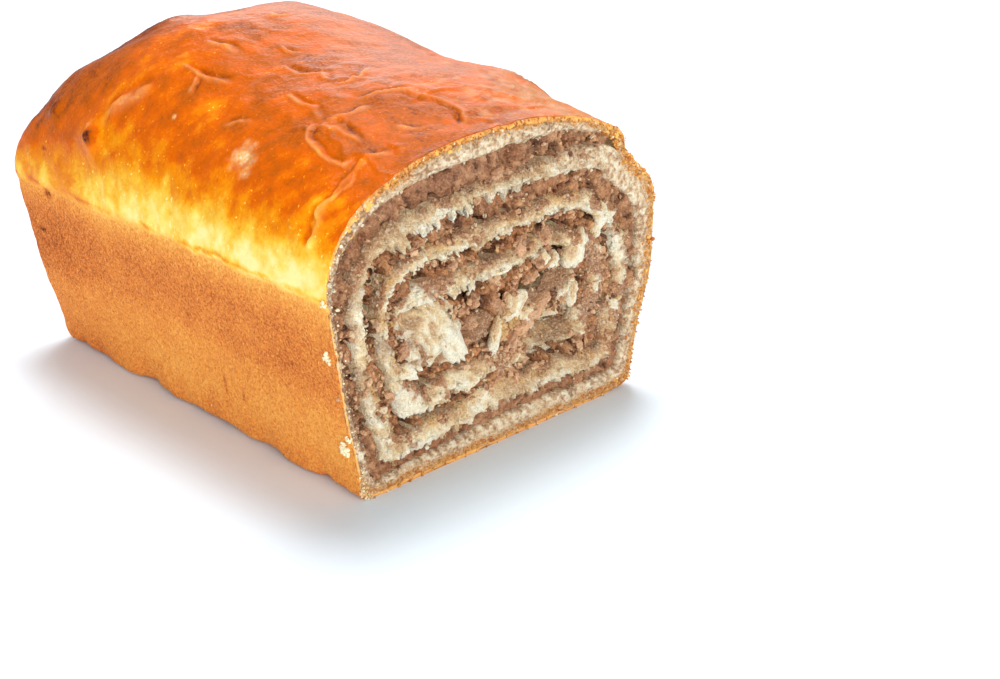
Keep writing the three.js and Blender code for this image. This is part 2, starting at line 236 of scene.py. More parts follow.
def half_section(side, along):
    """Half of a section's outline from the bottom's middle: flat bottom, rounded edge, flared wall, dome.

    The dome is a superellipse on the rim, pushed out from the rim's middle by its relief.
    """
    flat_half = BASE_HALF_WIDTH - BOTTOM_EDGE_RADIUS
    flare = (RIM_HALF_WIDTH - BASE_HALF_WIDTH) / RIM_HEIGHT
    bottom_x = np.linspace(0, flat_half, BOTTOM_STEPS, endpoint=False)
    turn = np.linspace(0, 1, EDGE_STEPS, endpoint=False)
    top_x = BASE_HALF_WIDTH + flare * BOTTOM_EDGE_RADIUS
    edge_x = flat_half * (1 - turn) ** 2 + 2 * BASE_HALF_WIDTH * turn * (1 - turn) + top_x * turn**2
    edge_z = BOTTOM_EDGE_RADIUS * turn**2
    wall_z = np.linspace(BOTTOM_EDGE_RADIUS, RIM_HEIGHT, WALL_STEPS[side], endpoint=False)
    wall_x = BASE_HALF_WIDTH + flare * wall_z + wall_relief(side, wall_z, along)
    lift = np.linspace(0, np.pi / 2, DOME_STEPS[side] + 1)
    angle = np.degrees(lift) if side > 0 else 180 - np.degrees(lift)
    rise = crown_height(along) - RIM_HEIGHT
    dome_x = RIM_HALF_WIDTH * np.clip(np.cos(lift), 0, 1) ** (2 / DOME_FULLNESS) + 0 * along
    dome_z = rise * np.sin(lift) ** (2 / DOME_FULLNESS)
    out = dome_relief(angle, along) * rise / RELIEF_FULL_RISE / np.maximum(np.hypot(dome_x, dome_z), 1)
    ones = np.ones_like(along)
    x = np.hstack([ones * bottom_x, ones * edge_x, wall_x, dome_x * (1 + out)])
    z = np.hstack([ones * (0 * bottom_x), ones * edge_z, ones * wall_z, RIM_HEIGHT + dome_z * (1 + out)])
    return side * x, z


def section(along):
    """A whole outline for each place along the loaf: from the bottom up the left wall, over, and down."""
    along = np.reshape(np.asarray(along, float), (-1, 1))
    halves = zip(half_section(-1, along), half_section(1, along))
    return tuple(np.hstack([left, right[:, -2:0:-1]]) for left, right in halves)


def dome_angle():
    """The angle round the dome of each point of an outline, 180 on the left wall and 0 on the right one."""
    below = BOTTOM_STEPS + EDGE_STEPS
    left = np.concatenate([np.full(below + WALL_STEPS[-1], 180.0), np.linspace(180, 90, DOME_STEPS[-1] + 1)])
    right = np.concatenate([np.zeros(below + WALL_STEPS[1]), np.linspace(0, 90, DOME_STEPS[1] + 1)])
    return np.concatenate([left, right[-2:0:-1]])


def lean(z, along):
    """The tin's end wall leans out, so a point below the rim lies nearer the cut by its share of the lean."""
    length = BASE_LENGTH + (RIM_LENGTH - BASE_LENGTH) * np.clip(z / RIM_HEIGHT, 0, 1)
    return along * length / RIM_LENGTH


def row_place(x, along, z):
    """Points in the row frame, in millimetres, from places across, along and up the loaf."""
    return np.stack(np.broadcast_arrays(x, along + CUT_PLANE, z), axis=-1)


def drawn_in(x, z, depth):
    """An outline moved towards the roll's core by a depth."""
    share = depth / np.hypot(x - CORE_X, z - CORE_Z)
    return x + (CORE_X - x) * share, z + (CORE_Z - z) * share


def grid_faces(rows, columns, wrap):
    """Quads between neighbours of a grid, closed round the columns where it wraps."""
    index = np.arange(rows * columns).reshape(rows, columns)
    if wrap:
        index = np.hstack([index, index[:, :1]])
    corners = [index[:-1, :-1], index[:-1, 1:], index[1:, 1:], index[1:, :-1]]
    return np.stack(corners, axis=-1).reshape(-1, 4)


def tube_faces(rows, columns):
    """Faces of a closed tube: quads between its rings, and triangles from its end rings to two end points.

    The end points follow the points of the rings.
    """
    ring = np.arange(columns)
    first = np.stack([ring, np.roll(ring, -1), np.full(columns, rows * columns)], axis=-1)
    last = first + [(rows - 1) * columns, (rows - 1) * columns, 1]
    return grid_faces(rows, columns, True), np.vstack([first[:, ::-1], last])


def make_piece(name, points, quads, triangles, finish, attributes, smooth=True):
    """A mesh piece from points in millimetres, its faces turned outwards by the sign of its volume."""
    points = points.reshape(-1, 3)
    corners = np.vstack([quads[:, [0, 1, 2]], quads[:, [0, 2, 3]], triangles])
    a, b, c = (points[corners[:, i]] for i in range(3))
    if np.einsum("ij,ij->", a, np.cross(b, c)) < 0:
        quads = quads[:, ::-1]
        triangles = triangles[:, ::-1]
    mesh = bpy.data.meshes.new(name)
    mesh.from_pydata((points * MM).tolist(), [], quads.tolist() + triangles.tolist())
    if smooth:
        mesh.shade_smooth()
    for label, values in attributes.items():
        values = values.reshape(len(points), -1)
        kind, field = ("FLOAT", "value") if values.shape[1] == 1 else ("FLOAT_COLOR", "color")
        layer = mesh.attributes.new(label, kind, "POINT")
        layer.data.foreach_set(field, values.astype(np.float32).ravel())
    mesh.materials.append(finish)
    piece = bpy.data.objects.new(name, mesh)
    bpy.context.scene.collection.objects.link(piece)
    return piece


class Shade:
    """A socket of a material's node tree: arithmetic on it adds Math nodes, node() adds any other kind."""

    def __init__(self, tree, socket=None):
        self.tree = tree
        self.socket = socket

    def node(self, kind, settings, sockets, output=0):
        """Adds a node, sets it, fills or links its sockets, and gives back one of its outputs.

        A ramp's stops are rows of level, red, green and blue on the screen.
        """
        made = self.tree.nodes.new(kind)
        for name, value in settings.items():
            if name != "stops":
                setattr(made, name, value)
                continue
            elements = made.color_ramp.elements
            while len(elements) < len(value):
                elements.new(0)
            for stop, (level, *colour) in zip(elements, value):
                stop.position = level
                stop.color = linear(*colour)
        self.fill(made, sockets)
        return Shade(self.tree, made.outputs[output])

    def fill(self, made, sockets):
        """Links each socket to a Shade, or sets it to a plain value."""
        for name, value in sockets.items():
            if isinstance(value, Shade):
                self.tree.links.new(value.socket, made.inputs[name])
            else:
                made.inputs[name].default_value = value

    def maths(self, operation, first, second):
        """One Math node of two values."""
        return self.node("ShaderNodeMath", {"operation": operation}, {0: first, 1: second})

    def __add__(self, other):
        return self.maths("ADD", self, other)

    def __radd__(self, other):
        return self.maths("ADD", other, self)

    def __sub__(self, other):
        return self.maths("SUBTRACT", self, other)

    def __rsub__(self, other):
        return self.maths("SUBTRACT", other, self)

    def __mul__(self, other):
        return self.maths("MULTIPLY", self, other)

    def __rmul__(self, other):
        return self.maths("MULTIPLY", other, self)

    def attribute(self, name, output="Fac"):
        """A value or colour that the mesh carries at its points."""
        return self.node("ShaderNodeAttribute", {"attribute_name": name}, {}, output)

    def noise(self, size, detail):
        """A noise pattern about its middle, from -0.5 to 0.5, with swells of a size in millimetres."""
        place = self.node("ShaderNodeTexCoord", {}, {}, "Object")
        sockets = {"Vector": place, "Scale": 1 / (size * MM), "Detail": detail}
        return self.node("ShaderNodeTexNoise", {}, sockets, "Fac") - 0.5

    def specks(self, size, level, gain):
        """The peaks of a noise pattern above a level, times a gain, and 0 between them."""
        return gain * self.maths("MAXIMUM", self.noise(size, 1) - level, 0)

    def ramp(self, stops, level):
        """A colour by a level between the colours of a ramp's stops."""
        return self.node("ShaderNodeValToRGB", {"stops": stops}, {"Fac": level})

    def blend(self, share, first, second, how="MIX"):
        """Two colours mixed by a share."""
        settings = {"data_type": "RGBA", "blend_type": how}
        return self.node("ShaderNodeMix", settings, {0: share, 6: first, 7: second}, 2)

    def bump(self, height, strength, distance):
        """A normal tilted by the slope of a height, with a distance in millimetres."""
        sockets = {"Height": height, "Strength": strength, "Distance": distance * MM}
        return self.node("ShaderNodeBump", {}, sockets, "Normal")

    def surface(self, sockets):
        """Fills the sockets of the material's surface shader."""
        self.fill(self.tree.nodes["Principled BSDF"], sockets)


def linear(red, green, blue):
    """A screen colour in 0 to 255 as linear light with full alpha."""
    screen = np.array([red, green, blue]) / 255
    light = np.where(screen > 0.04045, ((screen + 0.055) / 1.055) ** 2.4, screen / 12.92)
    return (*light, 1.0)


def new_finish(name):
    """A material with a plain surface shader, and the Shade that builds its nodes."""
    made = bpy.data.materials.new(name)
    made.use_nodes = True
    return made, Shade(made.node_tree)


# Colours by browning, or by how bare the crust is: level, red, green, blue
DOME_COLOURS = [
    (0.0, 253, 238, 158), (0.12, 252, 222, 108), (0.24, 250, 194, 56), (0.38, 242, 146, 8),
    (0.56, 221, 103, 3), (0.65, 209, 93, 3), (0.75, 190, 90, 7), (0.84, 168, 78, 10),
    (0.93, 118, 48, 20), (1.0, 62, 28, 24),
]
WALL_COLOURS = [
    (0.0, 255, 200, 108), (0.35, 244, 160, 74), (0.6, 220, 126, 62), (0.82, 176, 90, 40),
    (1.0, 70, 40, 32),
]
# Colours by browning, and of crust without egg wash, which is also the painted sheen on wrinkle crests:
# level, red, green, blue
BARE_AND_SHEEN_COLOURS = [(0.3, 232, 168, 92), (0.5, 250, 206, 136), (0.72, 255, 236, 198)]
# Browning over the dome by its angle, paler at both rims, and of the tin's walls by height
BROWNING_ANGLES = [0, 10, 22, 40, 70, 110, 136, 147, 155, 162, 168, 173, 180]
BROWNING_LEVELS = [0.32, 0.42, 0.53, 0.66, 0.77, 0.73, 0.67, 0.63, 0.55, 0.41, 0.22, 0.08, 0.02]
WALL_HEIGHTS = [0, 10, 20, 27, 36, 41, 44.5, 47]
WALL_LEVELS = [0.48, 0.38, 0.42, 0.56, 0.58, 0.48, 0.3, 0.18]
INSIDE_BROWNING, CAP_BROWNING = 0.3, 0.48
MOST_BROWNING = 0.78
# Browner parts of the dome: rise in browning, along and angle where it starts and is full
BROWNER_PARTS = [(0.3, 50, 115, 150, 172), (0.26, 84, 124, 172, 146)]
BROWNER_BACK = 0.15
BROWNER_WALL_END = 0.12
TORN_LIP_BROWNING, TORN_LIP_WIDTH, TORN_LIP_HEIGHT = 0.32, 0.6, 0.4
# Painted light on the wrinkles: paler crests as painted sheen, browner troughs as painted shade
CREASE_PAINTED_LIGHT, CREASE_PAINTED_SHEEN = 0.12, 0.2
# Slanting streaks of the egg wash: strength, width along, degrees down, seed
STREAKS = [(1.0, 3.2, 16, 41), (0.6, 1.3, 9, 42)]
STREAK_SLANT = 0.35
# Blisters of the skin: angle, along, half width, half length, rise
BLISTERS = [
    (160.2, 90.3, 2.4, 2.2, 1.9), (152, 113, 3.0, 2.6, 1.0), (156.5, 92, 5.0, 3.6, 0.6),
    (145.5, 36.5, 3.2, 2.6, -0.4), (149, 85.5, 5.5, 1.6, 0.5),
]
# Spots on the dome: angle, along, half width, half length, browning there, depth of colour
DOME_SPOTS = [
    (157.5, 91, 5.4, 4.8, 0.5, 0.55), (159.4, 90.4, 3.4, 3.0, 0.76, 0.75),
    (160.3, 90.2, 2.1, 1.8, 0.95, 0.95), (152, 113, 3.4, 3.0, 0.92, 0.85),
    (158, 120, 1.6, 1.6, 0.9, 0.8), (140, 116, 8.0, 7.0, 0.8, 0.6), (167.5, 114, 0.8, 0.8, 1.0, 0.9),
]
# Places where the egg wash flaked off: angle, along, half width, half length, bareness
BARE_PLACES = [
    (145.5, 36.5, 5.2, 4.2, 0.45), (145.0, 36.8, 3.2, 2.8, 0.8), (142.6, 65.1, 0.75, 0.7, 1.0),
    (156, 93.2, 3.0, 1.6, 0.3), (151, 87.4, 3.0, 2.2, 0.22), (146, 84.2, 3.0, 2.2, 0.3),
    (141, 80.4, 2.6, 1.9, 0.22), (60, 8, 22, 28, 0.26),
]
# Scars on the left wall: height, along, half height, half length, browning there, depth of colour
WALL_SCARS = [
    (44.7, 114.2, 1.6, 1.8, 0.95, 0.9), (33.6, 122, 1.0, 2.6, 0.95, 0.9), (12.8, 49, 3.2, 0.6, 0.8, 0.7),
    (12, 41.2, 2.0, 0.7, 0.78, 0.8), (36, 126, 5.0, 3.0, 0.72, 0.6),
]

back_part = 1 - (1 - np.linspace(0, 1, BACK_ROWS)) ** BACK_CROWDING
outer_along = np.concatenate([np.linspace(0, FRONT_LENGTH, FRONT_ROWS, endpoint=False),
                              FRONT_LENGTH + (RIM_LENGTH - FRONT_LENGTH) * back_part])[:, None]
outer_x, outer_z = section(outer_along)
angles = dome_angle() + 0 * outer_x
places = row_place(outer_x, outer_along, outer_z)
rim_wander = swells(places, RIM_WANDER)
rim_blur = RIM_BLUR + RIM_BLUR_SWING * ease(lattice(places, 22.0, 16), -0.5, 0.6)
on_dome = ease((outer_z - RIM_HEIGHT + LIP_LAP + rim_wander) / rim_blur, -1, 1)


def dome_gap(middle, place, half_width, half_length):
    """Distance of the crust's points from a spot on the unrolled dome, in half sizes of the spot."""
    return np.hypot((angles - middle) * ARC_PER_DEGREE / half_width, (outer_along - place) / half_length)


# Fine relief: orange-peel skin on the dome, a grainy wall, and a wall top that lies under the dome's lip
bent_places = places + CREASE_BEND * lattice(places, 4.0, 206)[..., None]
skin_crease = ease(1 - np.abs(lattice(bent_places, 7.0, 207)), CREASE_LEVEL, 1) * ease(angles, 160, 140)
skin_crease *= ease(lattice(places, 9.0, 208), 0.0, 0.6)
peel = swells(places, PEEL) + SKIN_CREASE * skin_crease
peel += sum(height * bell(dome_gap(*spot)) for *spot, height in BLISTERS)
grit = swells(places, GRIT) - GRIT_PITS * ease(lattice(places, 1.5, 31), 0.45, 0.9)
lip = -LIP_UNDERCUT * ease(outer_z, RIM_HEIGHT - LIP_HEIGHT, RIM_HEIGHT - LIP_LAP)
foot = np.stack([places[..., 1], np.sign(outer_x) * 40, 0 * outer_x], -1)
fine = peel * on_dome + (grit + lip) * (1 - on_dome)
fine += (FOOT_SPREAD + swells(foot, FOOT_SWELLS)) * ease(outer_z, FOOT_HEIGHT, 2) * (1 - on_dome)
fine *= ease(outer_z, 0.0, 1.5) / np.hypot(outer_x, outer_z - CORE_Z)
outer_x = outer_x * (1 + fine)
outer_z = CORE_Z + (outer_z - CORE_Z) * (1 + fine)

# The foot of the walls is uneven: its edge lifts a little from the table here and there
foot_edge = ease(np.abs(outer_x), BASE_HALF_WIDTH - 9, BASE_HALF_WIDTH - 2) * ease(outer_z, 6, 1)
outer_z = outer_z + FOOT_LIFT * ease(fractal(foot, 8.0, 2, 19), 0.1, 0.9) * foot_edge

# The back edge is rounded: the last sections are drawn in towards their middle
past = np.clip(outer_along - (RIM_LENGTH - BACK_EDGE_RADIUS), 0, None) / BACK_EDGE_RADIUS
inset = BACK_EDGE_RADIUS * (1 - np.sqrt(np.clip(1 - past**2, 0, 1)))
outer_x = outer_x * (1 - inset / RIM_HALF_WIDTH)
outer_z = MIDDLE_Z + (outer_z - MIDDLE_Z) * (1 - inset / MIDDLE_Z)

# End wall and inside: rings drawn in to one point each, and between them the ragged rim of the cut
shrink = np.linspace(1, 0, CAP_ROWS + 1)[1:-1, None]
cap_x = outer_x[-1] * shrink
cap_z = MIDDLE_Z + (outer_z[-1] - MIDDLE_Z) * shrink
cap_places = row_place(cap_x, RIM_LENGTH, cap_z)
cap_y = lean(cap_z, RIM_LENGTH) + CAP_DIMPLES * fractal(cap_places, 6.0, 3, 34) * (1 - shrink**8)
inner_x, inner_z = drawn_in(*section(INNER_STATIONS), CRUST_THICKNESS)
inner_y = INNER_STATIONS[:, None] + 0 * inner_x
clean_rim = ease(-outer_x[:1], 38, 45) * ease(outer_z[:1], 62, 44)
rim_x, rim_z = drawn_in(outer_x[:1], outer_z[:1], CRUST_RIM * (1 - 0.65 * clean_rim))
ragged = fractal(row_place(rim_x, 0, rim_z), 1.3, 3, 37)
rim_y = (RIM_RAGGEDNESS - 0.4 * clean_rim) * ragged - RIM_FORWARD + 0.45 * clean_rim
rim_y += 0.2 * (CRUST_RIM < 0.3)

crust_x = np.vstack([inner_x, rim_x, outer_x, cap_x])
crust_y = np.vstack([inner_y, rim_y, lean(outer_z, outer_along), cap_y])
crust_z = np.vstack([inner_z, rim_z, outer_z, cap_z])
crust_rows, crust_columns = crust_x.shape
inner_end = row_place(0.0, INNER_STATIONS[0], CORE_Z)
outer_end = row_place(0.0, lean(MIDDLE_Z, RIM_LENGTH), MIDDLE_Z)
crust_points = np.vstack([row_place(crust_x, crust_y, crust_z).reshape(-1, 3), inner_end, outer_end])


def crust_values(inner, rim, outer, cap, inner_point, outer_point):
    """A value for each point of the crust, in their order: inside, cut rim, outside, end wall, two ends."""
    parts = zip((inner, rim, outer, cap), (inner_x, rim_x, outer_x, cap_x))
    rings = [(value + 0 * shape).ravel() for value, shape in parts]
    return np.concatenate([*rings, [inner_point, outer_point]])


# Browning of each point, and where the egg wash is off; wrinkles get painted sheen on their crests and
# painted shade in their troughs
slant = outer_along + STREAK_SLANT * (180 - angles)
streaks = sum(strength * lattice(np.stack([slant / wide, angles / down, 0 * angles], -1), 1.0, seed)
              for strength, wide, down, seed in STREAKS)
mottle = fractal(places, 12.0, 3, 43)
rim_angle = angles + 2.4 * streaks * ease(angles, 120, 160) + 3.0 * mottle
dome_browning = np.interp(rim_angle, BROWNING_ANGLES, BROWNING_LEVELS)
dome_browning += 0.12 * mottle + 0.08 * streaks + 0.11 * fractal(places, 3.2, 3, 44)
for rise, start, end, first, last in BROWNER_PARTS:
    dome_browning += rise * ease(outer_along, start, end) * ease(angles, first, last)
dome_browning = np.minimum(dome_browning, MOST_BROWNING + 0.06 * mottle)
dome_browning += BROWNER_BACK * ease(outer_along, 98, 120) * ease(angles, 168, 145) * ease(angles, 75, 105)
for *spot, level, depth in DOME_SPOTS:
    share = depth * ease(1.1 - dome_gap(*spot) + 0.35 * fractal(places, 2.4, 3, 45), 0, 0.5)
    dome_browning += (level - dome_browning) * share
bent, shifted, strength = wandering(angles, outer_along)
bare = np.zeros(angles.shape)
# Painted sheen on wrinkle crests, paler and towards crust without egg wash, and painted shade in troughs
for points, height, half_width in WRINKLES:
    crease = np.sign(height) * strength * wrinkle(bent, shifted, points, half_width)
    dome_browning -= CREASE_PAINTED_LIGHT * crease
    bare = np.maximum(bare, CREASE_PAINTED_SHEEN * np.clip(crease, 0, 1))
for *spot, depth in BARE_PLACES:
    bare = np.maximum(bare, depth * ease(1.1 - dome_gap(*spot) + 0.6 * fractal(places, 2.6, 3, 46), 0, 1.0))
torn_lip = bell((outer_z - RIM_HEIGHT - TORN_LIP_HEIGHT + rim_wander) / TORN_LIP_WIDTH)
torn_lip *= ease(lattice(places, 6.0, 48), -0.3, 0.4) * (0.15 + 0.85 * (outer_x < 0))
dome_browning += TORN_LIP_BROWNING * torn_lip
wall_browning = np.interp(outer_z, WALL_HEIGHTS, WALL_LEVELS) + BROWNER_WALL_END * ease(outer_along, 80, 120)
wall_browning += 0.06 * mottle + 0.03 * fractal(places, 4.0, 3, 47)
for height, place, half_height, half_length, level, depth in WALL_SCARS:
    gap = np.hypot((outer_z - height) / half_height, (outer_along - place) / half_length)
    share = depth * ease(1.2 - gap + 0.4 * mottle, 0, 0.7) * (outer_x < 0)
    wall_browning += (level - wall_browning) * share
browning = wall_browning + (dome_browning - wall_browning) * on_dome
rim_browning = 0.4 - 0.2 * CRUST_RIM + 0.35 * ragged
rim_bare = np.clip(0.35 + 0.2 * clean_rim + 0.6 * ragged, 0, 1)
cap_browning = CAP_BROWNING + 0.12 * fractal(cap_places, 9.0, 4, 51)
crust_attributes = {
    "browning": crust_values(INSIDE_BROWNING, rim_browning, browning, cap_browning,
                             INSIDE_BROWNING, CAP_BROWNING),
    "tin": crust_values(1, 1, 1 - on_dome, 1, 1, 1),
    "bare": crust_values(0, rim_bare, bare * on_dome, 0, 0, 0),
}

crust_finish, crust_nodes = new_finish("egg_washed_crust")
mottling = crust_nodes.noise(4.0, 4)
speckle = crust_nodes.noise(0.75, 3)
sand = crust_nodes.noise(0.42, 2)
fleck = crust_nodes.specks(0.9, 0.17, 5)
pale_grain = crust_nodes.specks(0.7, 0.13, 4)
orange_peel = crust_nodes.noise(1.5, 2)
bake = crust_nodes.attribute("browning")
from_tin = crust_nodes.attribute("tin")
dome_level = bake + 0.21 * mottling + (0.06 + 0.36 * bake) * speckle - 0.5 * fleck
wall_level = bake + 0.12 * mottling + 0.75 * speckle + 0.8 * sand - 0.5 * pale_grain
dome_colour = crust_nodes.ramp(DOME_COLOURS, dome_level)
wall_colour = crust_nodes.ramp(WALL_COLOURS, wall_level)
# The colour of crust without egg wash, also used as the painted sheen on wrinkle crests
bare_and_sheen_colour = crust_nodes.ramp(BARE_AND_SHEEN_COLOURS, 0.5 + speckle + 0.6 * sand)
baked_colour = crust_nodes.blend(from_tin, dome_colour, wall_colour)
grit_height = (0.16 + 0.84 * from_tin) * (speckle + 0.5 * sand)
grit_height = grit_height + (0.6 * orange_peel + 0.3 * fleck) * (1 - from_tin)
crust_nodes.surface({
    "Base Color": crust_nodes.blend(crust_nodes.attribute("bare"), baked_colour, bare_and_sheen_colour),
    "Roughness": 0.38 + 0.36 * from_tin + 0.2 * speckle,
    "Coat Weight": 0.05 * bake * (1 - from_tin),
    "Coat Roughness": 0.22,
    "Specular IOR Level": 0.07,
    "Specular Tint": (1, 0.7, 0.3, 1),
    "Normal": crust_nodes.bump(grit_height, 0.8, 0.45),
})

crust = make_piece("crust", crust_points, *tube_faces(crust_rows, crust_columns),
                   crust_finish, crust_attributes)
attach(crust, "root")
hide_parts("dough")

# Dough: the white crumb of the rolled sheet, a spiral band from the crust in to the heart. The knife dragged
# it downwards, so each layer is smooth and tan at its upper edge and torn to white fringes at its lower one.
CORE_HALF_WIDTH, CORE_HALF_HEIGHT = 20.0, 2.0
TAIL_ANGLE = np.radians(38)
SPIRAL_TURNS = 3.36
DOUGH_TURNS = SPIRAL_TURNS + 0.62
TAIL_SHARE, SHARE_PER_TURN = 0.929, 0.252
SHARE_LOWER_AT_TOP, SHARE_WIDER_AT_SIDES = 0.055, 0.057
FILLING_SHARE, FILLING_THICKER_AT_TOP = 0.12, 0.2
TAIL_TAPER_TURNS, TAIL_TAPER_SHARE = 0.06, 0.5
HEART_START, HEART_SHARE = 2.8, 0.16
FILLING_END = 112.0
SHEET_END_TURNS, TAIL_CLOSING_TURNS, HEART_CLOSING_TURNS = 0.05, 0.012, 0.03
CORE_SHARE = 0.045
CRUST_OVERLAP = 0.9
TATTER, TATTER_CELL = 0.8, 8.0
LEAST_HANG = 0.3
THIN_CRUST_LEFT = 0.5
# Relief of the cut in millimetres: rounded edges, crumb that stands proud, and gaps at the heart
EDGE_ROUNDING, PROUD, LOWER_PROUD = 0.9, 0.6, 0.5
HEART_GAP_DEPTH, HEART_DEPTH = 1.4, 0.6
EDGE_WIDTH = 1.6
# Hollows of the cut: x, z, spread, depth
CUT_HOLLOWS = [
    (-13.5, 31, 3.2, 3.6), (10.5, 20.7, 5.0, 4.0), (18.6, 23.4, 5.5, 6.0), (17, 35.5, 3.2, 3.0),
    (38.5, 44.3, 2.4, 4.5), (32.2, 52.5, 1.5, 2.0), (19.5, 67.1, 2.0, 3.0), (1.1, 67.8, 2.0, 2.5),
    (-39.1, 58.1, 1.6, 2.4), (-28.6, 60.3, 1.3, 2.0), (-36.8, 52.0, 1.8, 2.0), (-24.0, 20.5, 2.4, 2.2),
    (14.5, 46.2, 4.2, 4.0), (-29.5, 38.6, 2.6, 2.4),
]
BAND_STATIONS = np.array([5.0, 14, 30, 58, FILLING_END])
BAND_STEP = 0.34
DOUGH_ACROSS = 22
# Whiter stretches: middle turn, half length in turns, strength
WHITER = [(1.06, 0.06, 0.35), (1.2, 0.1, 0.35), (1.62, 0.14, 0.25), (2.03, 0.06, 0.3), (2.2, 0.08, 0.15)]
# Share of the dough's inner and outer half that paste is smeared over, by turn
SMEAR_TURNS = [0.98, 1.12, 1.37, 1.62, 1.87, 2.12, 2.37, 2.62, 2.87, 3.12, 3.37, 3.62, 3.87]
SMEAR_INNER = [0.0, 0.0, 0.15, 0.1, 0.3, 0.0, 0.15, 0.4, 0.85, 0.5, 0.6, 0.25, 0.25]
SMEAR_OUTER = [0.0, 0.0, 0.35, 0.25, 0.8, 0.05, 0.3, 0.5, 0.8, 0.4, 0.4, 0.05, 0.05]
# The cup of torn dough at the heart, which no paste or bits lie in: middle and half sizes
CUP = (15.5, 22.5, 8.5, 5.5)
# Places torn to fringes: first turn, last turn, length
FRINGES = [
    (1.1, 1.3, 2.8), (1.5, 1.78, 1.0), (2.0, 2.09, 1.4), (2.12, 2.3, 1.0), (2.5, 2.62, 1.2),
    (3.05, 3.32, 1.8),
]
CRUMB_WHITE = linear(255, 246, 222)
CRUMB_CREAM = linear(240, 216, 172)
CRUMB_TAN = linear(216, 176, 132)
CRUMB_STAIN = linear(176, 132, 98)
CRUMB_SKIN = linear(230, 196, 152)
# Painted shade for the layers' edges, the hollows and the flakes' shaded parts
CRUMB_SHADE = linear(132, 96, 68)
SYRUP = linear(232, 184, 112)
SMEAR = linear(176, 118, 80)
CRUST_EDGE = linear(230, 172, 98)
CRUST_BROWN = linear(190, 118, 54)


def ridged(points, cell, octaves, seed):
    """1 on the crests of folded random swells and near 0 between them: one minus the size of each swell."""
    folds = [(1 - np.abs(lattice(points, cell / 2**i, seed + i))) / 2**i for i in range(octaves)]
    return sum(folds) / (2 - 2 ** (1 - octaves))


def reach(angle, along):
    """Distance from the roll's core to the loaf's outline in a direction, at one place along the loaf."""
    x, z = (line[0] for line in section([along]))
    bearing = np.arctan2(z - CORE_Z, x - CORE_X)
    order = np.argsort(bearing)
    distance = np.hypot(x - CORE_X, z - CORE_Z)
    return np.interp(angle, bearing[order], distance[order], period=2 * np.pi)


def core_gap(angle, distance):
    """About how far the loaf's outline lies outside the flat core in a direction."""
    return distance - CORE_HALF_WIDTH * np.abs(np.cos(angle))


def roll_point(angle, share, distance):
    """A point of the roll: the blend of its flat core (share 0) and the loaf's outline (share 1)."""
    x = CORE_X + ((1 - share) * CORE_HALF_WIDTH + share * distance) * np.cos(angle)
    z = CORE_Z + ((1 - share) * CORE_HALF_HEIGHT + share * distance) * np.sin(angle)
    return x, z


def spiral_angle(turn):
    """The direction of a turn of the spiral, which starts at the sheet's outer end."""
    return TAIL_ANGLE + 2 * np.pi * turn


def filling_edges(turn):
    """Shares of the filling's inner and outer edge: a spiral, lower at the top and wider at the sides."""
    angle = spiral_angle(turn)
    waist = SHARE_WIDER_AT_SIDES * np.cos(2 * angle) - SHARE_LOWER_AT_TOP * np.sin(angle)
    middle = TAIL_SHARE - SHARE_PER_TURN * turn + waist
    taper = np.clip(turn / TAIL_TAPER_TURNS, TAIL_TAPER_SHARE, 1)
    half = FILLING_SHARE / 2 * taper * (1 + FILLING_THICKER_AT_TOP * np.sin(angle))
    heart = HEART_SHARE * ease(turn, HEART_START, SPIRAL_TURNS)
    return middle - half - heart, middle + half


def dough_outer(turn):
    """Share of the dough's outer edge: under the crust for the first turn, then under the filling."""
    angle = spiral_angle(turn)
    skin = 1 - (CRUST_THICKNESS - CRUST_OVERLAP) / core_gap(angle, reach(angle, 0))
    under = filling_edges(np.maximum(turn - 1, 0))[0]
    return skin + (under - skin) * ease(turn, 1 - SHEET_END_TURNS, 1)


def dough_edges(turn):
    """Shares of the dough's inner edge, on the filling and past its end on the core, and of its outer one."""
    on_filling = filling_edges(np.clip(turn, 0, SPIRAL_TURNS))[1]
    past_heart = ease(turn, SPIRAL_TURNS, SPIRAL_TURNS + HEART_CLOSING_TURNS)
    inner = on_filling + (CORE_SHARE - on_filling) * past_heart
    before_tail = 1 - ease(turn, -TAIL_CLOSING_TURNS, 0)
    return inner + (dough_outer(turn + 1) - inner) * before_tail, dough_outer(turn)


def band_lines(start, end, edges):
    """A band from a start to an end turn, in even steps along its middle.

    Gives the turn of each step, the run to it, the shares of the band's inner and outer edge, and as columns
    the angle, the reach and the band's thickness in millimetres.
    """
    turn = np.linspace(start, end, 6000)
    angle = spiral_angle(turn)
    x, z = roll_point(angle, sum(edges(turn)) / 2, reach(angle, 0))
    run = np.concatenate([[0], np.cumsum(np.hypot(np.diff(x), np.diff(z)))])
    even = np.linspace(0, run[-1], int(run[-1] / BAND_STEP))
    turn = np.interp(even, run, turn)
    angle = spiral_angle(turn)[:, None]
    distance = reach(angle, 0)
    inner, outer = edges(turn)
    sides = [roll_point(angle, share[:, None], distance) for share in (outer, inner)]
    return turn, even, inner, outer, angle, distance, np.hypot(*np.subtract(*sides))


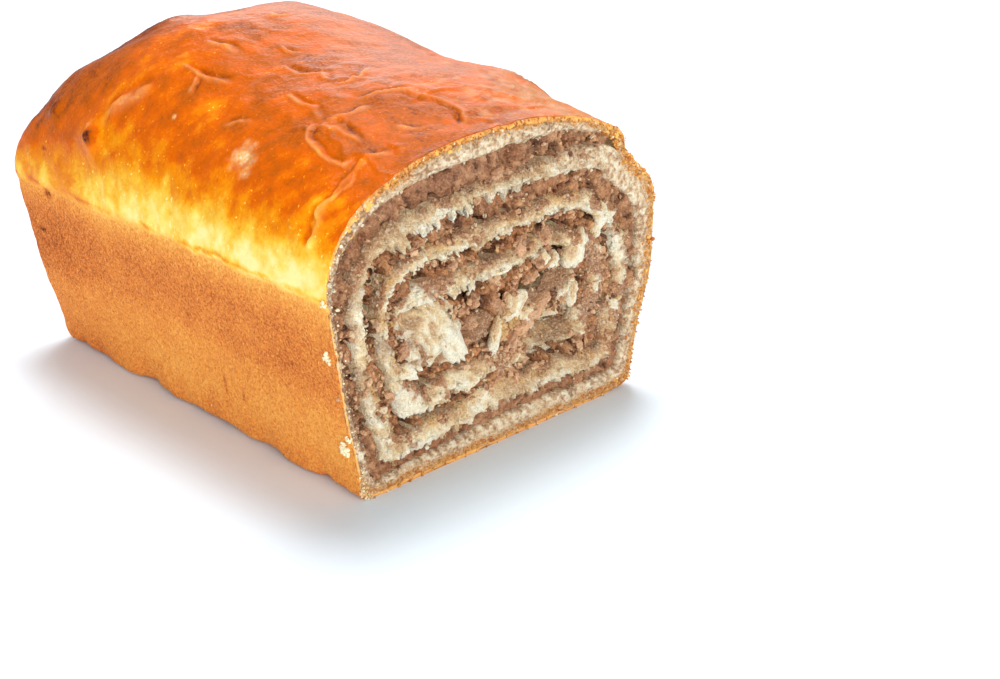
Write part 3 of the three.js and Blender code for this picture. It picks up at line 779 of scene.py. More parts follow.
def rolled_band(turn, inner, outer, face_x, face_depth, face_z):
    """A closed spiral band: a torn face at the cut, side walls that run back along the loaf, and a back."""
    angle = spiral_angle(turn)[:, None]
    sides = [reach(angle, along) for along in BAND_STATIONS]
    walls = [roll_point(angle, outer[:, None], distance) for distance in sides]
    walls += [roll_point(angle, inner[:, None], distance) for distance in sides[::-1]]
    x = np.hstack([face_x, *[wall[0] for wall in walls]])
    z = np.hstack([face_z, *[wall[1] for wall in walls]])
    back = np.concatenate([BAND_STATIONS, BAND_STATIONS[::-1]])
    points = row_place(x, np.hstack([face_depth, np.ones((len(turn), 1)) * back]), z)
    ends = points[[0, -1]].mean(axis=1)
    return np.vstack([points.reshape(-1, 3), ends]), *tube_faces(*x.shape)


def band_tint(face_tint, hidden_colour):
    """The face's colours, with one colour for the band's hidden sides, back and ends."""
    hidden = np.broadcast_to(np.array(hidden_colour), (len(face_tint), 2 * len(BAND_STATIONS), 4))
    rings = np.concatenate([face_tint, hidden], axis=1).reshape(-1, 4)
    return np.vstack([rings, [hidden_colour, hidden_colour]])


def hollow_depth(x, z):
    """Depth of the torn hollows of the cut, each a bell."""
    return sum(depth * bell(np.hypot(x - a, z - b) / spread) for a, b, spread, depth in CUT_HOLLOWS)


def layered(colour, *coats):
    """A colour under coats of others: each coat moves it towards its own colour by a share held to 0 to 1."""
    for coat, share in coats:
        colour = np.array(colour) + (np.array(coat) - np.array(colour)) * np.clip(share, 0, 1)[..., None]
    return colour


def crumb_colour(white):
    """The colour of torn dough by its whiteness: tan at 0, cream at a half and white at 1."""
    return layered(CRUMB_TAN, (CRUMB_CREAM, 2 * white), (CRUMB_WHITE, 2 * white - 1))


def in_cup(x, z):
    """1 inside the cup of torn dough at the heart, and 0 outside its ellipse."""
    return ease(1 - np.hypot((x - CUP[0]) / CUP[2], (z - CUP[1]) / CUP[3]), 0, 0.2)


def grainy_finish(name, grain, dark, light, rough, fixed):
    """A finish in the colour that the mesh carries, darker and lighter by a noise that also roughens it.

    Grain is the noise's size and detail, dark the share and factor of the darker colour, light the share and
    colour of the lighter one, rough the roughness and its swing, and fixed the sockets with one value.
    """
    made, nodes = new_finish(name)
    speck = nodes.noise(*grain)
    tint = nodes.attribute("tint", "Color")
    darker = nodes.blend(1.0, tint, dark[1], "MULTIPLY")
    mixed = nodes.blend(-dark[0] * speck, tint, darker)
    nodes.surface({
        "Base Color": nodes.blend(light[0] * speck, mixed, light[1]),
        "Roughness": rough[0] + rough[1] * speck,
        "Normal": nodes.bump(speck, 1.0, 0.8),
        **fixed,
    })
    return made


dough_turn, dough_run, dough_in, dough_out, dough_angle, dough_reach, layer = band_lines(
    -SHEET_END_TURNS, DOUGH_TURNS, dough_edges)
across = np.linspace(0, 1, DOUGH_ACROSS)[None]
rolled = ease(dough_turn, 0.98, 1.02)[:, None]
path = dough_run[:, None, None] * (1, 0, 0)
left_side = ease(-np.cos(dough_angle), 0.6, 0.9)
right_side = np.cos(dough_angle)
# The lower edge is the inner one over the core and the outer one under it
over_core = ease(np.sin(dough_angle), -0.35, 0.45)
lower = over_core * (1 - across) + (1 - over_core) * across
torn = sum(length * ease(dough_turn, start - 0.02, start + 0.02) * ease(dough_turn, end + 0.02, end - 0.02)
           for start, end, length in FRINGES)[:, None]
hang = (LEAST_HANG + torn) * ease(lattice(path, 0.65, 61) + 0.7 * lattice(path, 3.3, 62), 0.0, 0.9)
tatter_in = TATTER * fractal(path, TATTER_CELL, 4, 67) * rolled - hang * over_core
tatter_out = (TATTER * fractal(path, TATTER_CELL, 4, 69) + hang * (1 - over_core)) * rolled
room = (dough_out - dough_in)[:, None] * ease(layer, 0.5, 3) / np.maximum(layer, 0.5)
share_in = dough_in[:, None] + tatter_in * room
share_out = dough_out[:, None] + tatter_out * room
share_out += THIN_CRUST_LEFT * left_side * (1 - rolled) / core_gap(dough_angle, dough_reach)
face_share = share_in + (share_out - share_in) * across
dough_x, dough_z = roll_point(dough_angle, face_share, dough_reach)
flat = np.stack([dough_x, 0 * dough_x, dough_z], -1)
edge = np.minimum(across * layer, (1 - across) * layer + 9 * (1 - rolled))
fibres = ridged(flat * (1, 1, 0.3), 0.9, 2, 71)
pores = fractal(flat, 1.2, 3, 73)
grainy = fractal(flat, 0.7, 2, 77)
swell = fractal(flat, 5.0, 2, 78)
patchy = fractal(flat, 14.0, 2, 79)
frayed = ease(lower, 0.35, 0.85) * ease(torn, 0.3, 1.5)
heart = ease(dough_turn, 3.36, 3.5)[:, None]
heart_gap = heart * ease(fractal(flat, 5.5, 2, 80), 0.2, -0.15)
hollowed = hollow_depth(dough_x, dough_z)
dough_depth = hollowed + EDGE_ROUNDING * (1 - ease(edge, 0, EDGE_ROUNDING))
dough_depth -= PROUD + LOWER_PROUD * rolled * ease(lower, 0.3, 0.8)
dough_depth += (0.3 + 0.7 * rolled) * (0.6 * swell + 0.75 * pores) + 0.14 * grainy
dough_depth += 0.7 * frayed * (0.7 - fibres) + HEART_GAP_DEPTH * heart_gap + HEART_DEPTH * heart
dough_depth += THIN_CRUST_LEFT * left_side * (1 - rolled) * ease(across, 0.5, 1)

# Whiter where it is torn, tan and stained along the upper edge, and smeared with paste nearer the heart
skin_gap = (1 - face_share) * core_gap(dough_angle, dough_reach)
dull_side = ease(-dough_x, 26, 38)
white = 0.12 + 0.6 * ease(lower, 0.15, 0.75) + 0.45 * swell - 0.35 * pores + 0.25 * grainy + 0.5 * patchy
white += 0.5 * frayed * (fibres - 0.55) - 0.3 * dull_side
white += sum(strength * bell((dough_turn - middle) / spread) for middle, spread, strength in WHITER)[:, None]
stain = ease(1 - lower, 0.6, 1.0) * (0.5 + 0.9 * fractal(flat, 3.0, 2, 74))
stain += dull_side * (0.15 + 0.8 * swell) - 0.2 * patchy
syrup = ease(fractal(flat, 5.0, 2, 75), 0.3, 0.65) * ease(1 - lower, 0.3, 0.7)
smear_inner = np.interp(dough_turn, SMEAR_TURNS, SMEAR_INNER)[:, None]
smear_outer = np.interp(dough_turn, SMEAR_TURNS, SMEAR_OUTER)[:, None]
smear_share = smear_inner + (smear_outer - smear_inner) * ease(across, 0.3, 0.7)
kept_clean = 0.85 * ease(lower, 0.3, 0.6) * (1 - 0.8 * ease(right_side, 0.5, 0.9))
smeared = ease(1.1 * fractal(flat, 3.0, 4, 76) + 1.1 * smear_share - 0.45 - kept_clean, -0.2, 0.2) * rolled
smeared = smeared * (1 - 0.9 * in_cup(dough_x, dough_z))
skin_tint = layered(
    CRUMB_STAIN,
    (CRUMB_SKIN, 0.8 + 0.8 * grainy + 0.3 * swell),
    (CRUMB_WHITE, 0.2 + 0.8 * grainy),
    (CRUMB_STAIN, left_side * (0.5 - 1.2 * grainy)),
)
torn_side = ease(right_side, 0.55, 0.9)
under_side = ease(7 - dough_z, 0, 3)
edge_width = EDGE_WIDTH + 0.4 * ease(dough_z, 52, 64) + 1.7 * torn_side + 1.5 * under_side - 1.0 * left_side
crust_edge = ease(edge_width + 0.9 * grainy + 0.5 * swell - skin_gap, 0, 1.3) * (1 - 0.6 * left_side)
dough_tint = layered(
    crumb_colour(white),
    (CRUMB_STAIN, stain),
    (SYRUP, 0.45 * syrup),
    (SMEAR, 0.85 * smeared),
    (skin_tint, 1 - ease(dough_turn, 0.98, 1.12)[:, None]),
    # Painted shade: darker at the layers' edges and in the hollows, less where the crumb is white
    (CRUMB_SHADE, 0.45 * (1 - ease(edge, 0, 0.6)) + 0.12 * np.clip(hollowed, 0, 4) - 0.3 * white),
    (CRUMB_STAIN, heart_gap),
    (CRUST_EDGE, crust_edge),
    (CRUST_BROWN, crust_edge * (0.2 + 0.8 * grainy + 0.3 * under_side + 0.5 * torn_side * (0.5 + pores))),
)

dough_finish = grainy_finish(
    "torn_dough_crumb", (0.45, 3), (2.4, (0.62, 0.5, 0.38, 1)), (2.0, CRUMB_WHITE), (0.9, 0.1), {
        "Specular IOR Level": 0.15,
        "Subsurface Weight": 0.18,
        "Subsurface Radius": (1.0, 0.75, 0.5),
        "Subsurface Scale": 0.9 * MM,
    })
dough = make_piece("dough_crumb",
                   *rolled_band(dough_turn, dough_in, dough_out, dough_x, dough_depth, dough_z),
                   dough_finish, {"tint": band_tint(dough_tint, CRUMB_CREAM)})
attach(dough, "root")
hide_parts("dough")

# Filling: ground walnuts cooked to a paste with sugar and milk, spread on the sheet and rolled up with it.
# The outermost turn is a smooth mauve paste, and nearer the heart it broke into crumbs, lumps and pits.
PASTE = linear(162, 108, 74)
PASTE_BROWN = linear(190, 124, 76)
PASTE_PALE = linear(200, 148, 108)
GRAIN_TAN = linear(240, 186, 134)
# The paste's own dark grains, and painted shade in its pits, holes, cracks and under the dough
PASTE_DARK_AND_SHADE = linear(74, 38, 22)
FILLING_ACROSS = 17
FILLING_RECESS, FILLING_TUCK = 0.5, 0.9
GRAIN_SIZE, SMALL_GRAIN_SIZE = 2.2, 0.95
PALER_TURN, PALER_SPREAD = 1.75, 0.3
GRAIN_WARP, WARP_CELL = 0.7, 2.0
# Relief of the paste in millimetres
LUMP_RISE, CRACK_DEPTH, HOLE_DEPTH = 1.4, 0.5, 2.8
MEAL_RISE, PINHOLE_DEPTH, UNDERCUT = 0.22, 0.8, 1.1


def grains(u, v, seed):
    """Cell pattern: distances to the nearest and next of seeded points, one a square, and its own number."""
    draw = np.random.default_rng(seed)
    shift = draw.uniform(0.05, 0.95, (64, 64, 2))
    number = draw.uniform(0, 1, (64, 64))
    square_u = np.floor(u).astype(int)
    square_v = np.floor(v).astype(int)
    nearest = np.full(u.shape, 9.0)
    second = np.full(u.shape, 9.0)
    own = np.zeros(u.shape)
    for step_u, step_v in np.ndindex(3, 3):
        i = square_u + step_u - 1
        j = square_v + step_v - 1
        spot = shift[i % 64, j % 64]
        gap = np.hypot(i + spot[..., 0] - u, j + spot[..., 1] - v)
        second = np.minimum(second, np.maximum(gap, nearest))
        own = np.where(gap < nearest, number[i % 64, j % 64], own)
        nearest = np.minimum(nearest, gap)
    return nearest, second, own


filling_turn, _, filling_in, filling_out, filling_angle, filling_reach, layer = band_lines(
    0, SPIRAL_TURNS, filling_edges)
across = np.linspace(0, 1, FILLING_ACROSS)[None]
width = (filling_out - filling_in)[:, None]
tuck = FILLING_TUCK / layer * width
face_share = filling_in[:, None] - tuck + (width + 2 * tuck) * across
filling_x, filling_z = roll_point(filling_angle, face_share, filling_reach)
flat = np.stack([filling_x, 0 * filling_x, filling_z], -1)
crumbly = ease(filling_turn, 0.75, 1.4)[:, None]
lower = np.where(np.sin(filling_angle) > 0, 1 - across, across)
pitted = (ease(filling_turn, 0.14, 0.06) + ease(np.abs(filling_turn - 0.42), 0.12, 0.04))[:, None]
uneven = 0.5 * ease(lower, 0.5, 0.9) + 0.3 * fractal(flat, 9, 2, 83)
coarse = np.clip(0.02 + 0.9 * crumbly + 0.5 * pitted + (0.6 + 0.4 * crumbly) * uneven, 0.02, 1.1)
warp_x = filling_x + GRAIN_WARP * fractal(flat, WARP_CELL, 2, 81)
warp_z = filling_z + GRAIN_WARP * fractal(flat, WARP_CELL, 2, 82)
grain, next_grain, grain_number = grains(warp_x / GRAIN_SIZE, warp_z / GRAIN_SIZE, 87)
small, _, small_number = grains(warp_x / SMALL_GRAIN_SIZE, warp_z / SMALL_GRAIN_SIZE, 88)
lump = (1 - grain**2) * (0.2 + 0.9 * grain_number) + 0.45 * (1 - small**2) * small_number
crack = ease(0.3 - (next_grain - grain), 0, 0.28)
hole = ease(fractal(flat, 3.0, 2, 91), 0.18, 0.55)
meal_relief = fractal(flat, 1.0, 3, 93)
pinhole = ease(fractal(flat, 1.7, 2, 94), 0.42, 0.75)
# The paste under the dough's lower edge is cut back, and painted shade darkens it there
under_edge = ease(1 - lower, 0.62, 0.86) * crumbly * (0.7 + 0.6 * fractal(flat, 4.0, 2, 97))
filling_hollow = hollow_depth(filling_x, filling_z)
filling_depth = FILLING_RECESS + filling_hollow
filling_depth += coarse * (0.9 - LUMP_RISE * lump + CRACK_DEPTH * crack + HOLE_DEPTH * hole)
filling_depth += MEAL_RISE * meal_relief + PINHOLE_DEPTH * pinhole + UNDERCUT * under_edge

number_tan = (0.15 + coarse) * (grain_number * 0.6 + small_number * 0.7 - 0.6)
paler_turn = 0.22 * bell((filling_turn - PALER_TURN) / PALER_SPREAD)[:, None]
paler_right = 0.15 * ease(np.cos(filling_angle), 0.2, 0.8)
filling_tint = layered(
    PASTE,
    (PASTE_BROWN, 0.9 * crumbly + 0.5 * fractal(flat, 5, 2, 95)),
    (PASTE_PALE, (1 - crumbly) * (0.1 + 1.3 * fractal(flat, 1.8, 3, 96))),
    (GRAIN_TAN, number_tan + paler_right + paler_turn),
    # Painted shade in pits, holes, cracks, between lumps, under the dough's edge and in the hollows, with
    # some of the paste's own darker grains
    (PASTE_DARK_AND_SHADE, 0.05 + 0.5 * meal_relief + 0.7 * pinhole + 0.3 * (0.3 - small_number)),
    (PASTE_DARK_AND_SHADE, hole * (0.15 + 0.75 * coarse) + (0.35 * crack + 0.15 * (1 - lump)) * coarse - 0.05),
    (PASTE_DARK_AND_SHADE, 0.6 * under_edge),
    (PASTE_DARK_AND_SHADE, 0.14 * crumbly * np.clip(filling_hollow, 0, 4)),
)

filling_finish = grainy_finish(
    "ground_walnut_paste", (0.5, 3), (2.8, (0.5, 0.4, 0.32, 1)), (1.4, GRAIN_TAN), (0.45, 0.3), {
        "Specular IOR Level": 0.4,
        "Subsurface Weight": 0.2,
        "Subsurface Radius": (1.0, 0.6, 0.4),
        "Subsurface Scale": 0.7 * MM,
    })
filling = make_piece("walnut_paste",
                     *rolled_band(filling_turn, filling_in, filling_out, filling_x, filling_depth, filling_z),
                     filling_finish, {"tint": band_tint(filling_tint, PASTE)})
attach(filling, "root")
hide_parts("walnut_filling")

# Walnut bits: chopped kernels in the paste, from meal to slivers a few millimetres long. They are pale where
# they broke and brown where their skin is left, and they stick to the paste at the cut.
WALNUT_PEACH = linear(232, 184, 144)
WALNUT_SKIN = linear(150, 100, 70)
# Colours of the bits, and the chance of each
BIT_COLOURS = np.array([linear(*colour) for colour in [
    (238, 196, 156), (224, 176, 134), (206, 156, 120), (184, 132, 100), (240, 214, 178),
    (226, 184, 124), (124, 78, 52),
]])
BIT_CHANCES = [0.21, 0.23, 0.21, 0.15, 0.07, 0.05, 0.08]
# Slivers: x, z, depth, half length, half width, thickness, tilt in degrees, share of brown skin
WALNUT_SLIVERS = [
    (10.5, 30.0, 0.8, 3.6, 2.1, 2.0, 32, 0.0), (5.5, 26.8, 0.9, 3.4, 1.7, 1.9, 30, 0.1),
    (1.6, 23.2, 0.8, 3.2, 1.6, 1.8, 52, 0.1), (-1.2, 18.6, 0.8, 3.6, 1.4, 1.7, 67, 0.2),
    (4.2, 45.2, 0.6, 3.8, 1.8, 1.6, 80, 0.15), (14.0, 45.4, 1.2, 2.8, 2.2, 1.8, 70, 0.25),
    (2.7, 14.8, 0.4, 2.4, 0.8, 1.2, 85, 0.1), (-24.6, 18.3, 0.4, 2.6, 0.8, 1.2, 85, 0.1),
    (-30.6, 30.6, 0.5, 2.4, 0.8, 1.1, 70, 0.15), (-9.3, 36.5, 1.6, 2.8, 1.6, 1.8, 80, 0.45),
    (-9.9, 31.0, 1.8, 2.2, 1.6, 1.8, 60, 0.35), (-11.9, 27.0, 1.2, 2.0, 1.3, 1.4, 40, 0.4),
    (-3.0, 63.8, 0.4, 2.4, 1.3, 1.1, 12, 0.2), (28.0, 33.0, 0.8, 2.2, 1.4, 1.3, 70, 0.3),
    (8.0, 37.5, 1.2, 2.4, 1.4, 1.4, 15, 0.3), (-16.0, 46.5, 0.6, 2.0, 1.1, 1.1, 35, 0.4),
]
# Clumps torn loose at the heart: middle of the area and its half sizes, number of clumps and bits in each
CLUMP_AREA = (3.0, 30.0, 22.0, 12.0)
CLUMP_COUNT, CLUMP_BITS = 34, 24
CUP_WIDTH = 15
BIT_COUNT, STRAY_COUNT = 1300, 500
BIT_ROUGHNESS, PART_ROUGHNESS = 0.42, 0.35
BIT_FIBRE = 1.5
# Half sizes of the lumps: middle one, spread of its logarithm, least and most
BIT_SIZES = (0.31, 0.5, 0.14, 1.0)
STRAY_SIZES = (0.29, 0.45, 0.14, 0.8)
PART_SIZES = (0.4, 0.5, 0.16, 1.2)
LUMP_ROWS, LUMP_COLUMNS = 4, 7
SLIVER_RINGS, SLIVER_SPOKES = 12, 36


def sizes_of(draw, count, sizes):
    """Random half sizes whose logarithms lie about that of the middle one, held to a least and a most."""
    middle, spread, least, most = sizes
    return draw.lognormal(np.log(middle), spread, count).clip(least, most)


def lumps(middles, half_sizes, rough, turn_seed, seed):
    """Joined lumps: spheres on a grid of rows and columns, made uneven, stretched, turned and set in place.

    Each point's distance from its lump's middle is drawn at random between 1 - rough and 1 + rough, the turns
    are the orthogonal parts of random matrices, and no point lies below the table.
    """
    count = len(middles)
    turns = np.linalg.qr(np.random.default_rng(turn_seed).normal(size=(count, 3, 3)))[0]
    turns = turns * np.sign(np.linalg.det(turns))[:, None, None]
    rise = np.linspace(0, np.pi, LUMP_ROWS + 2)[1:-1, None]
    spin = np.linspace(0, 2 * np.pi, LUMP_COLUMNS, endpoint=False)[None]
    across = np.sin(rise) * np.cos(spin), np.sin(rise) * np.sin(spin)
    ball = np.stack(np.broadcast_arrays(*across, np.cos(rise)), -1)
    ball = np.vstack([ball.reshape(-1, 3), [[0, 0, 1], [0, 0, -1]]])
    uneven = np.random.default_rng(seed).uniform(1 - rough, 1 + rough, (count, len(ball), 1))
    points = np.einsum("nij,nkj->nki", turns, ball * uneven * half_sizes[:, None])
    points = points + middles[:, None]
    points[..., 2] = np.maximum(points[..., 2], 0)
    return points, *lump_faces(count, LUMP_ROWS, LUMP_COLUMNS)


def lump_faces(count, rows, columns):
    """Faces of a number of like lumps, each a closed tube."""
    shift = np.arange(count)[:, None, None] * (rows * columns + 2)
    quads, triangles = tube_faces(rows, columns)
    return (quads + shift).reshape(-1, 4), (triangles + shift).reshape(-1, 3)


def torn_flakes(rows, fibre, seed):
    """Flakes that lie in the cut: lens shapes on rings and spokes with a tattered rim and a fibrous front.

    Rows are x, z, depth, half length, half width, thickness, tilt and one more. The front stands out by the
    thickness times the root of 1 - r squared, and by folds that are stretched along the flake by the fibre. A
    flake whose thickness is below 0 is a cup. The folds are given back too, with painted light added: higher
    to the right and down, where the flakes are painted as lit, and lower at the upper left, as painted shade.
    """
    x, z, depth, half_long, half_wide, thick, tilt = (np.array(rows)[:, i, None, None] for i in range(7))
    depth = depth + 0.5 * hollow_depth(x, z)
    rings = np.linspace(0, 1, SLIVER_RINGS + 1)[1:] ** 0.7
    radius = np.concatenate([rings, rings[-2::-1]])[None, :, None]
    front = np.concatenate([np.ones(SLIVER_RINGS), -np.ones(SLIVER_RINGS - 1)])[None, :, None]
    spin = np.linspace(0, 2 * np.pi, SLIVER_SPOKES, endpoint=False)[None, None]
    count = len(rows)
    own = 37.0 * np.arange(count)[:, None, None]
    around = np.stack(np.broadcast_arrays(np.cos(spin), np.sin(spin), own), -1)
    outline = 1 + 0.4 * lattice(around, 0.9, seed) + 0.3 * lattice(around, 0.3, seed + 1)
    u = radius * outline * half_long * np.cos(spin)
    v = radius * outline * half_wide * np.sin(spin)
    folds = ridged(np.stack(np.broadcast_arrays(u / fibre, v, own), -1), 1.5, 3, seed + 2)
    rough = fractal(np.stack(np.broadcast_arrays(u, v, own), -1), 0.9, 2, seed + 5)
    dome = np.sqrt(np.clip(1 - radius**2, 0, 1)) * thick
    back = -np.abs(dome) + 0.8 * np.minimum(dome, 0) / np.abs(thick)
    fibrous = dome + (folds - 0.7) * (0.5 + 0.9 * np.clip(dome, 0, 1.3)) + 0.35 * rough
    angle = np.radians(tilt)
    right = u * np.cos(angle) - v * np.sin(angle)
    rise = u * np.sin(angle) + v * np.cos(angle)
    points = row_place(x + right, depth - np.where(front > 0, fibrous, back), z + rise)
    poles = np.stack([points[:, 0].mean(axis=1), points[:, -1].mean(axis=1)], axis=1)
    points = np.concatenate([points.reshape(count, -1, 3), poles], axis=1)
    # Painted light: paler to the right and down, darker at the upper left
    folds_and_painted_light = folds + 0.45 * (right - rise) / (half_long + half_wide)
    folds_and_painted_light = np.concatenate([folds_and_painted_light.reshape(count, -1), np.full((count, 2), 0.7)], axis=1)
    return (points, *lump_faces(count, 2 * SLIVER_RINGS - 1, SLIVER_SPOKES)), folds_and_painted_light


def joined(*groups):
    """Several groups of lumps as one mesh."""
    start = np.cumsum([0] + [group[0].shape[0] * group[0].shape[1] for group in groups])
    points = np.vstack([group[0].reshape(-1, 3) for group in groups])
    quads = np.vstack([group[1] + first for group, first in zip(groups, start)])
    triangles = np.vstack([group[2] + first for group, first in zip(groups, start)])
    return points, quads, triangles


def lump_tints(colours, group):
    """One colour for each lump of a group, with a little light and dark from point to point."""
    count, points = group[0].shape[:2]
    light = np.random.default_rng(count).uniform(0.85, 1.12, (count, points, 1))
    return np.clip(colours[:, None] * light, 0, 1).reshape(-1, 4)


def bit_colours(draw, count):
    """Random colours of walnut bits."""
    return BIT_COLOURS[draw.choice(len(BIT_COLOURS), count, p=BIT_CHANCES)]


# Bits in the paste, more and looser where it is coarse
draw = np.random.default_rng(101)
chance = (np.clip(coarse, 0.15, 1) * (1 - 0.9 * in_cup(filling_x, filling_z))).ravel()
pick = draw.choice(filling_x.size, BIT_COUNT, p=chance / chance.sum())
size = sizes_of(draw, BIT_COUNT, BIT_SIZES) * (0.5 + 0.5 * chance[pick])
off_x, off_z = draw.normal(0, 0.9, (2, BIT_COUNT)) * (0.3 + 0.7 * chance[pick])
middles = row_place(filling_x.ravel()[pick] + off_x, filling_depth.ravel()[pick] - 0.2 * size - 0.3,
                    filling_z.ravel()[pick] + off_z)
bits = lumps(middles, size[:, None] * draw.uniform(0.55, 1.7, (BIT_COUNT, 3)), BIT_ROUGHNESS, 103, 105)
bit_tint = lump_tints(bit_colours(draw, BIT_COUNT), bits)

# Bits that strayed on to the smeared dough
pick = draw.choice(dough_x.size, STRAY_COUNT, p=smeared.ravel() / smeared.ravel().sum())
size = sizes_of(draw, STRAY_COUNT, STRAY_SIZES)
middles = row_place(dough_x.ravel()[pick], dough_depth.ravel()[pick] - 0.1, dough_z.ravel()[pick])
strays = lumps(middles, size[:, None] * draw.uniform(0.7, 1.5, (STRAY_COUNT, 3)), BIT_ROUGHNESS, 104, 106)
stray_tint = lump_tints(bit_colours(draw, STRAY_COUNT), strays)

# Clumps of bits at the heart, each long in its own direction, and moved out of the cup
spin = draw.uniform(0, 2 * np.pi, CLUMP_COUNT)
radius = np.sqrt(draw.uniform(0, 1, CLUMP_COUNT))
clump_x = CLUMP_AREA[0] + CLUMP_AREA[2] * radius * np.cos(spin)
clump_z = CLUMP_AREA[1] + CLUMP_AREA[3] * radius * np.sin(spin)
own = np.repeat(np.arange(CLUMP_COUNT), CLUMP_BITS)
clump_long = draw.uniform(0.7, 2.0, CLUMP_COUNT)[own]
tilt = np.radians(draw.uniform(20, 120, CLUMP_COUNT))[own]
down = draw.normal(0, 0.8, len(own)) * clump_long
sideways = draw.normal(0, 0.4, len(own)) * clump_long
part_x = clump_x[own] + down * np.cos(tilt) - sideways * np.sin(tilt)
part_z = clump_z[own] + down * np.sin(tilt) + sideways * np.cos(tilt)
part_depth = draw.uniform(0, 1.8, CLUMP_COUNT)[own] + draw.normal(0, 0.5, len(own))
part_depth += 0.5 * hollow_depth(part_x, part_z)
size = sizes_of(draw, len(own), PART_SIZES)
stretch = size[:, None] * draw.uniform(0.45, 1.8, (len(own), 3))
part_x = np.where(in_cup(part_x, part_z) > 0.5, part_x - CUP_WIDTH, part_x)
parts = lumps(row_place(part_x, part_depth, part_z), stretch, PART_ROUGHNESS, 108, 109)
part_colours = layered(bit_colours(draw, CLUMP_COUNT)[own], (WALNUT_PEACH, draw.uniform(-0.4, 0.7, len(own))))

slivers, folds_and_painted_light = torn_flakes(WALNUT_SLIVERS, BIT_FIBRE, 107)
# Brown skin where the folds are low, and painted shade towards each sliver's upper left
skin_share = np.array(WALNUT_SLIVERS)[:, 7:] + 1.6 * (0.68 - folds_and_painted_light)
sliver_tint = layered(WALNUT_PEACH, (WALNUT_SKIN, skin_share)).reshape(-1, 4)
bits_tint = np.vstack([bit_tint, stray_tint, lump_tints(part_colours, parts), sliver_tint])
walnut_bits = make_piece("walnut_bits", *joined(bits, strays, parts, slivers), filling_finish,
                         {"tint": bits_tint}, smooth=False)
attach(walnut_bits, "root")

# Torn dough: flakes and tufts of crumb that the knife pulled out of the layers, the largest at the heart.
# They hang on the cut face by their own fibres.
# Flakes: x, z, depth, half length, half width, thickness, tilt in degrees, whiteness
DOUGH_FLAKES = [
    (-21.8, 33.4, 2.4, 9.0, 6.2, 4.3, -56, 0.8), (-17.6, 29.2, 0.0, 7.5, 2.4, 1.5, -58, 1.0),
    (-4.0, 27.0, -0.2, 4.4, 1.4, 1.4, 78, 0.95), (-3.2, 28.2, 1.0, 1.7, 1.2, 1.2, 30, 0.8),
    (16.5, 22.3, 0.2, 8.8, 5.6, -3.0, 14, 0.6), (21.6, 40.6, 0.5, 4.6, 3.0, 2.2, 76, 0.75),
    (15.6, 39.6, 1.2, 2.4, 1.9, 1.6, 60, 0.9), (30.9, 47.1, 0.4, 3.0, 2.3, 1.4, 50, 1.0),
    (29.1, 43.6, 0.6, 2.0, 1.5, 1.2, 20, 0.9), (22.7, 29.6, 1.2, 3.6, 1.5, 1.4, 85, 0.8),
    (-30.2, 26.0, 0.3, 3.0, 2.0, 1.3, -35, 0.9), (-37.0, 13.3, 0.1, 3.0, 1.8, 1.1, -70, 0.85),
    (2.4, 31.8, 0.7, 4.2, 3.0, 1.6, 62, 0.75), (11.8, 41.2, 0.6, 2.2, 1.7, 1.5, 40, 0.95),
    (-1.5, 42.2, 0.3, 3.6, 1.3, 1.2, 4, 0.95),
]
FLAKE_FIBRE = 4.0
TUFT_COUNT = 1300
CRUMB_ROUGHNESS = 0.3
TUFT_SIZES = (0.25, 0.35, 0.12, 0.5)
draw = np.random.default_rng(111)
chance = (0.25 + ease(1.2 - edge, 0, 1.0)) * (0.35 + 0.65 * rolled) * ease(skin_gap, 0.8, 1.5)
pick = draw.choice(dough_x.size, TUFT_COUNT, p=chance.ravel() / chance.sum())
size = sizes_of(draw, TUFT_COUNT, TUFT_SIZES)
off_x, off_z = draw.normal(0, 0.3, (2, TUFT_COUNT))
middles = row_place(dough_x.ravel()[pick] + off_x, dough_depth.ravel()[pick] - 0.15 * size,
                    dough_z.ravel()[pick] + off_z)
tufts = lumps(middles, size[:, None] * draw.uniform(0.6, 1.6, (TUFT_COUNT, 3)), CRUMB_ROUGHNESS, 113, 115)
tuft_colours = layered(dough_tint.reshape(-1, 4)[pick], (CRUMB_WHITE, draw.uniform(-0.4, 0.35, TUFT_COUNT)))
flakes, folds_and_painted_light = torn_flakes(DOUGH_FLAKES, FLAKE_FIBRE, 117)
# Whiteness from the folds and the painted light; where it falls below 0, painted shade in CRUMB_SHADE
flake_white = np.array(DOUGH_FLAKES)[:, 7:] + 2.2 * (folds_and_painted_light - 0.72)
flake_tint = layered(crumb_colour(flake_white), (CRUMB_SHADE, -1.5 * flake_white)).reshape(-1, 4)
torn_dough = make_piece("torn_dough", *joined(tufts, flakes), dough_finish,
                        {"tint": np.vstack([lump_tints(tuft_colours, tufts), flake_tint])})
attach(torn_dough, "root")

# Crumbs: bits of crust and dough that the knife left along the cut edge of the crust, with a few that stuck
# to the wall beside it. Those on the right edge are larger, and those on the left one are pale.
CRUMB_COLOURS = np.array([linear(*colour) for colour in [
    (226, 166, 90), (212, 142, 68), (236, 196, 132), (192, 116, 52), (248, 232, 196),
]])
CRUMB_CHANCES = [0.36, 0.3, 0.13, 0.17, 0.04]
CRUMB_COUNT = 2400
CRUMB_SIZES = (0.15, 0.35, 0.09, 0.4)
CRUMB_REACH, CRUMB_REACH_RIGHT, LARGER_RIGHT = 1.8, 2.5, 0.5
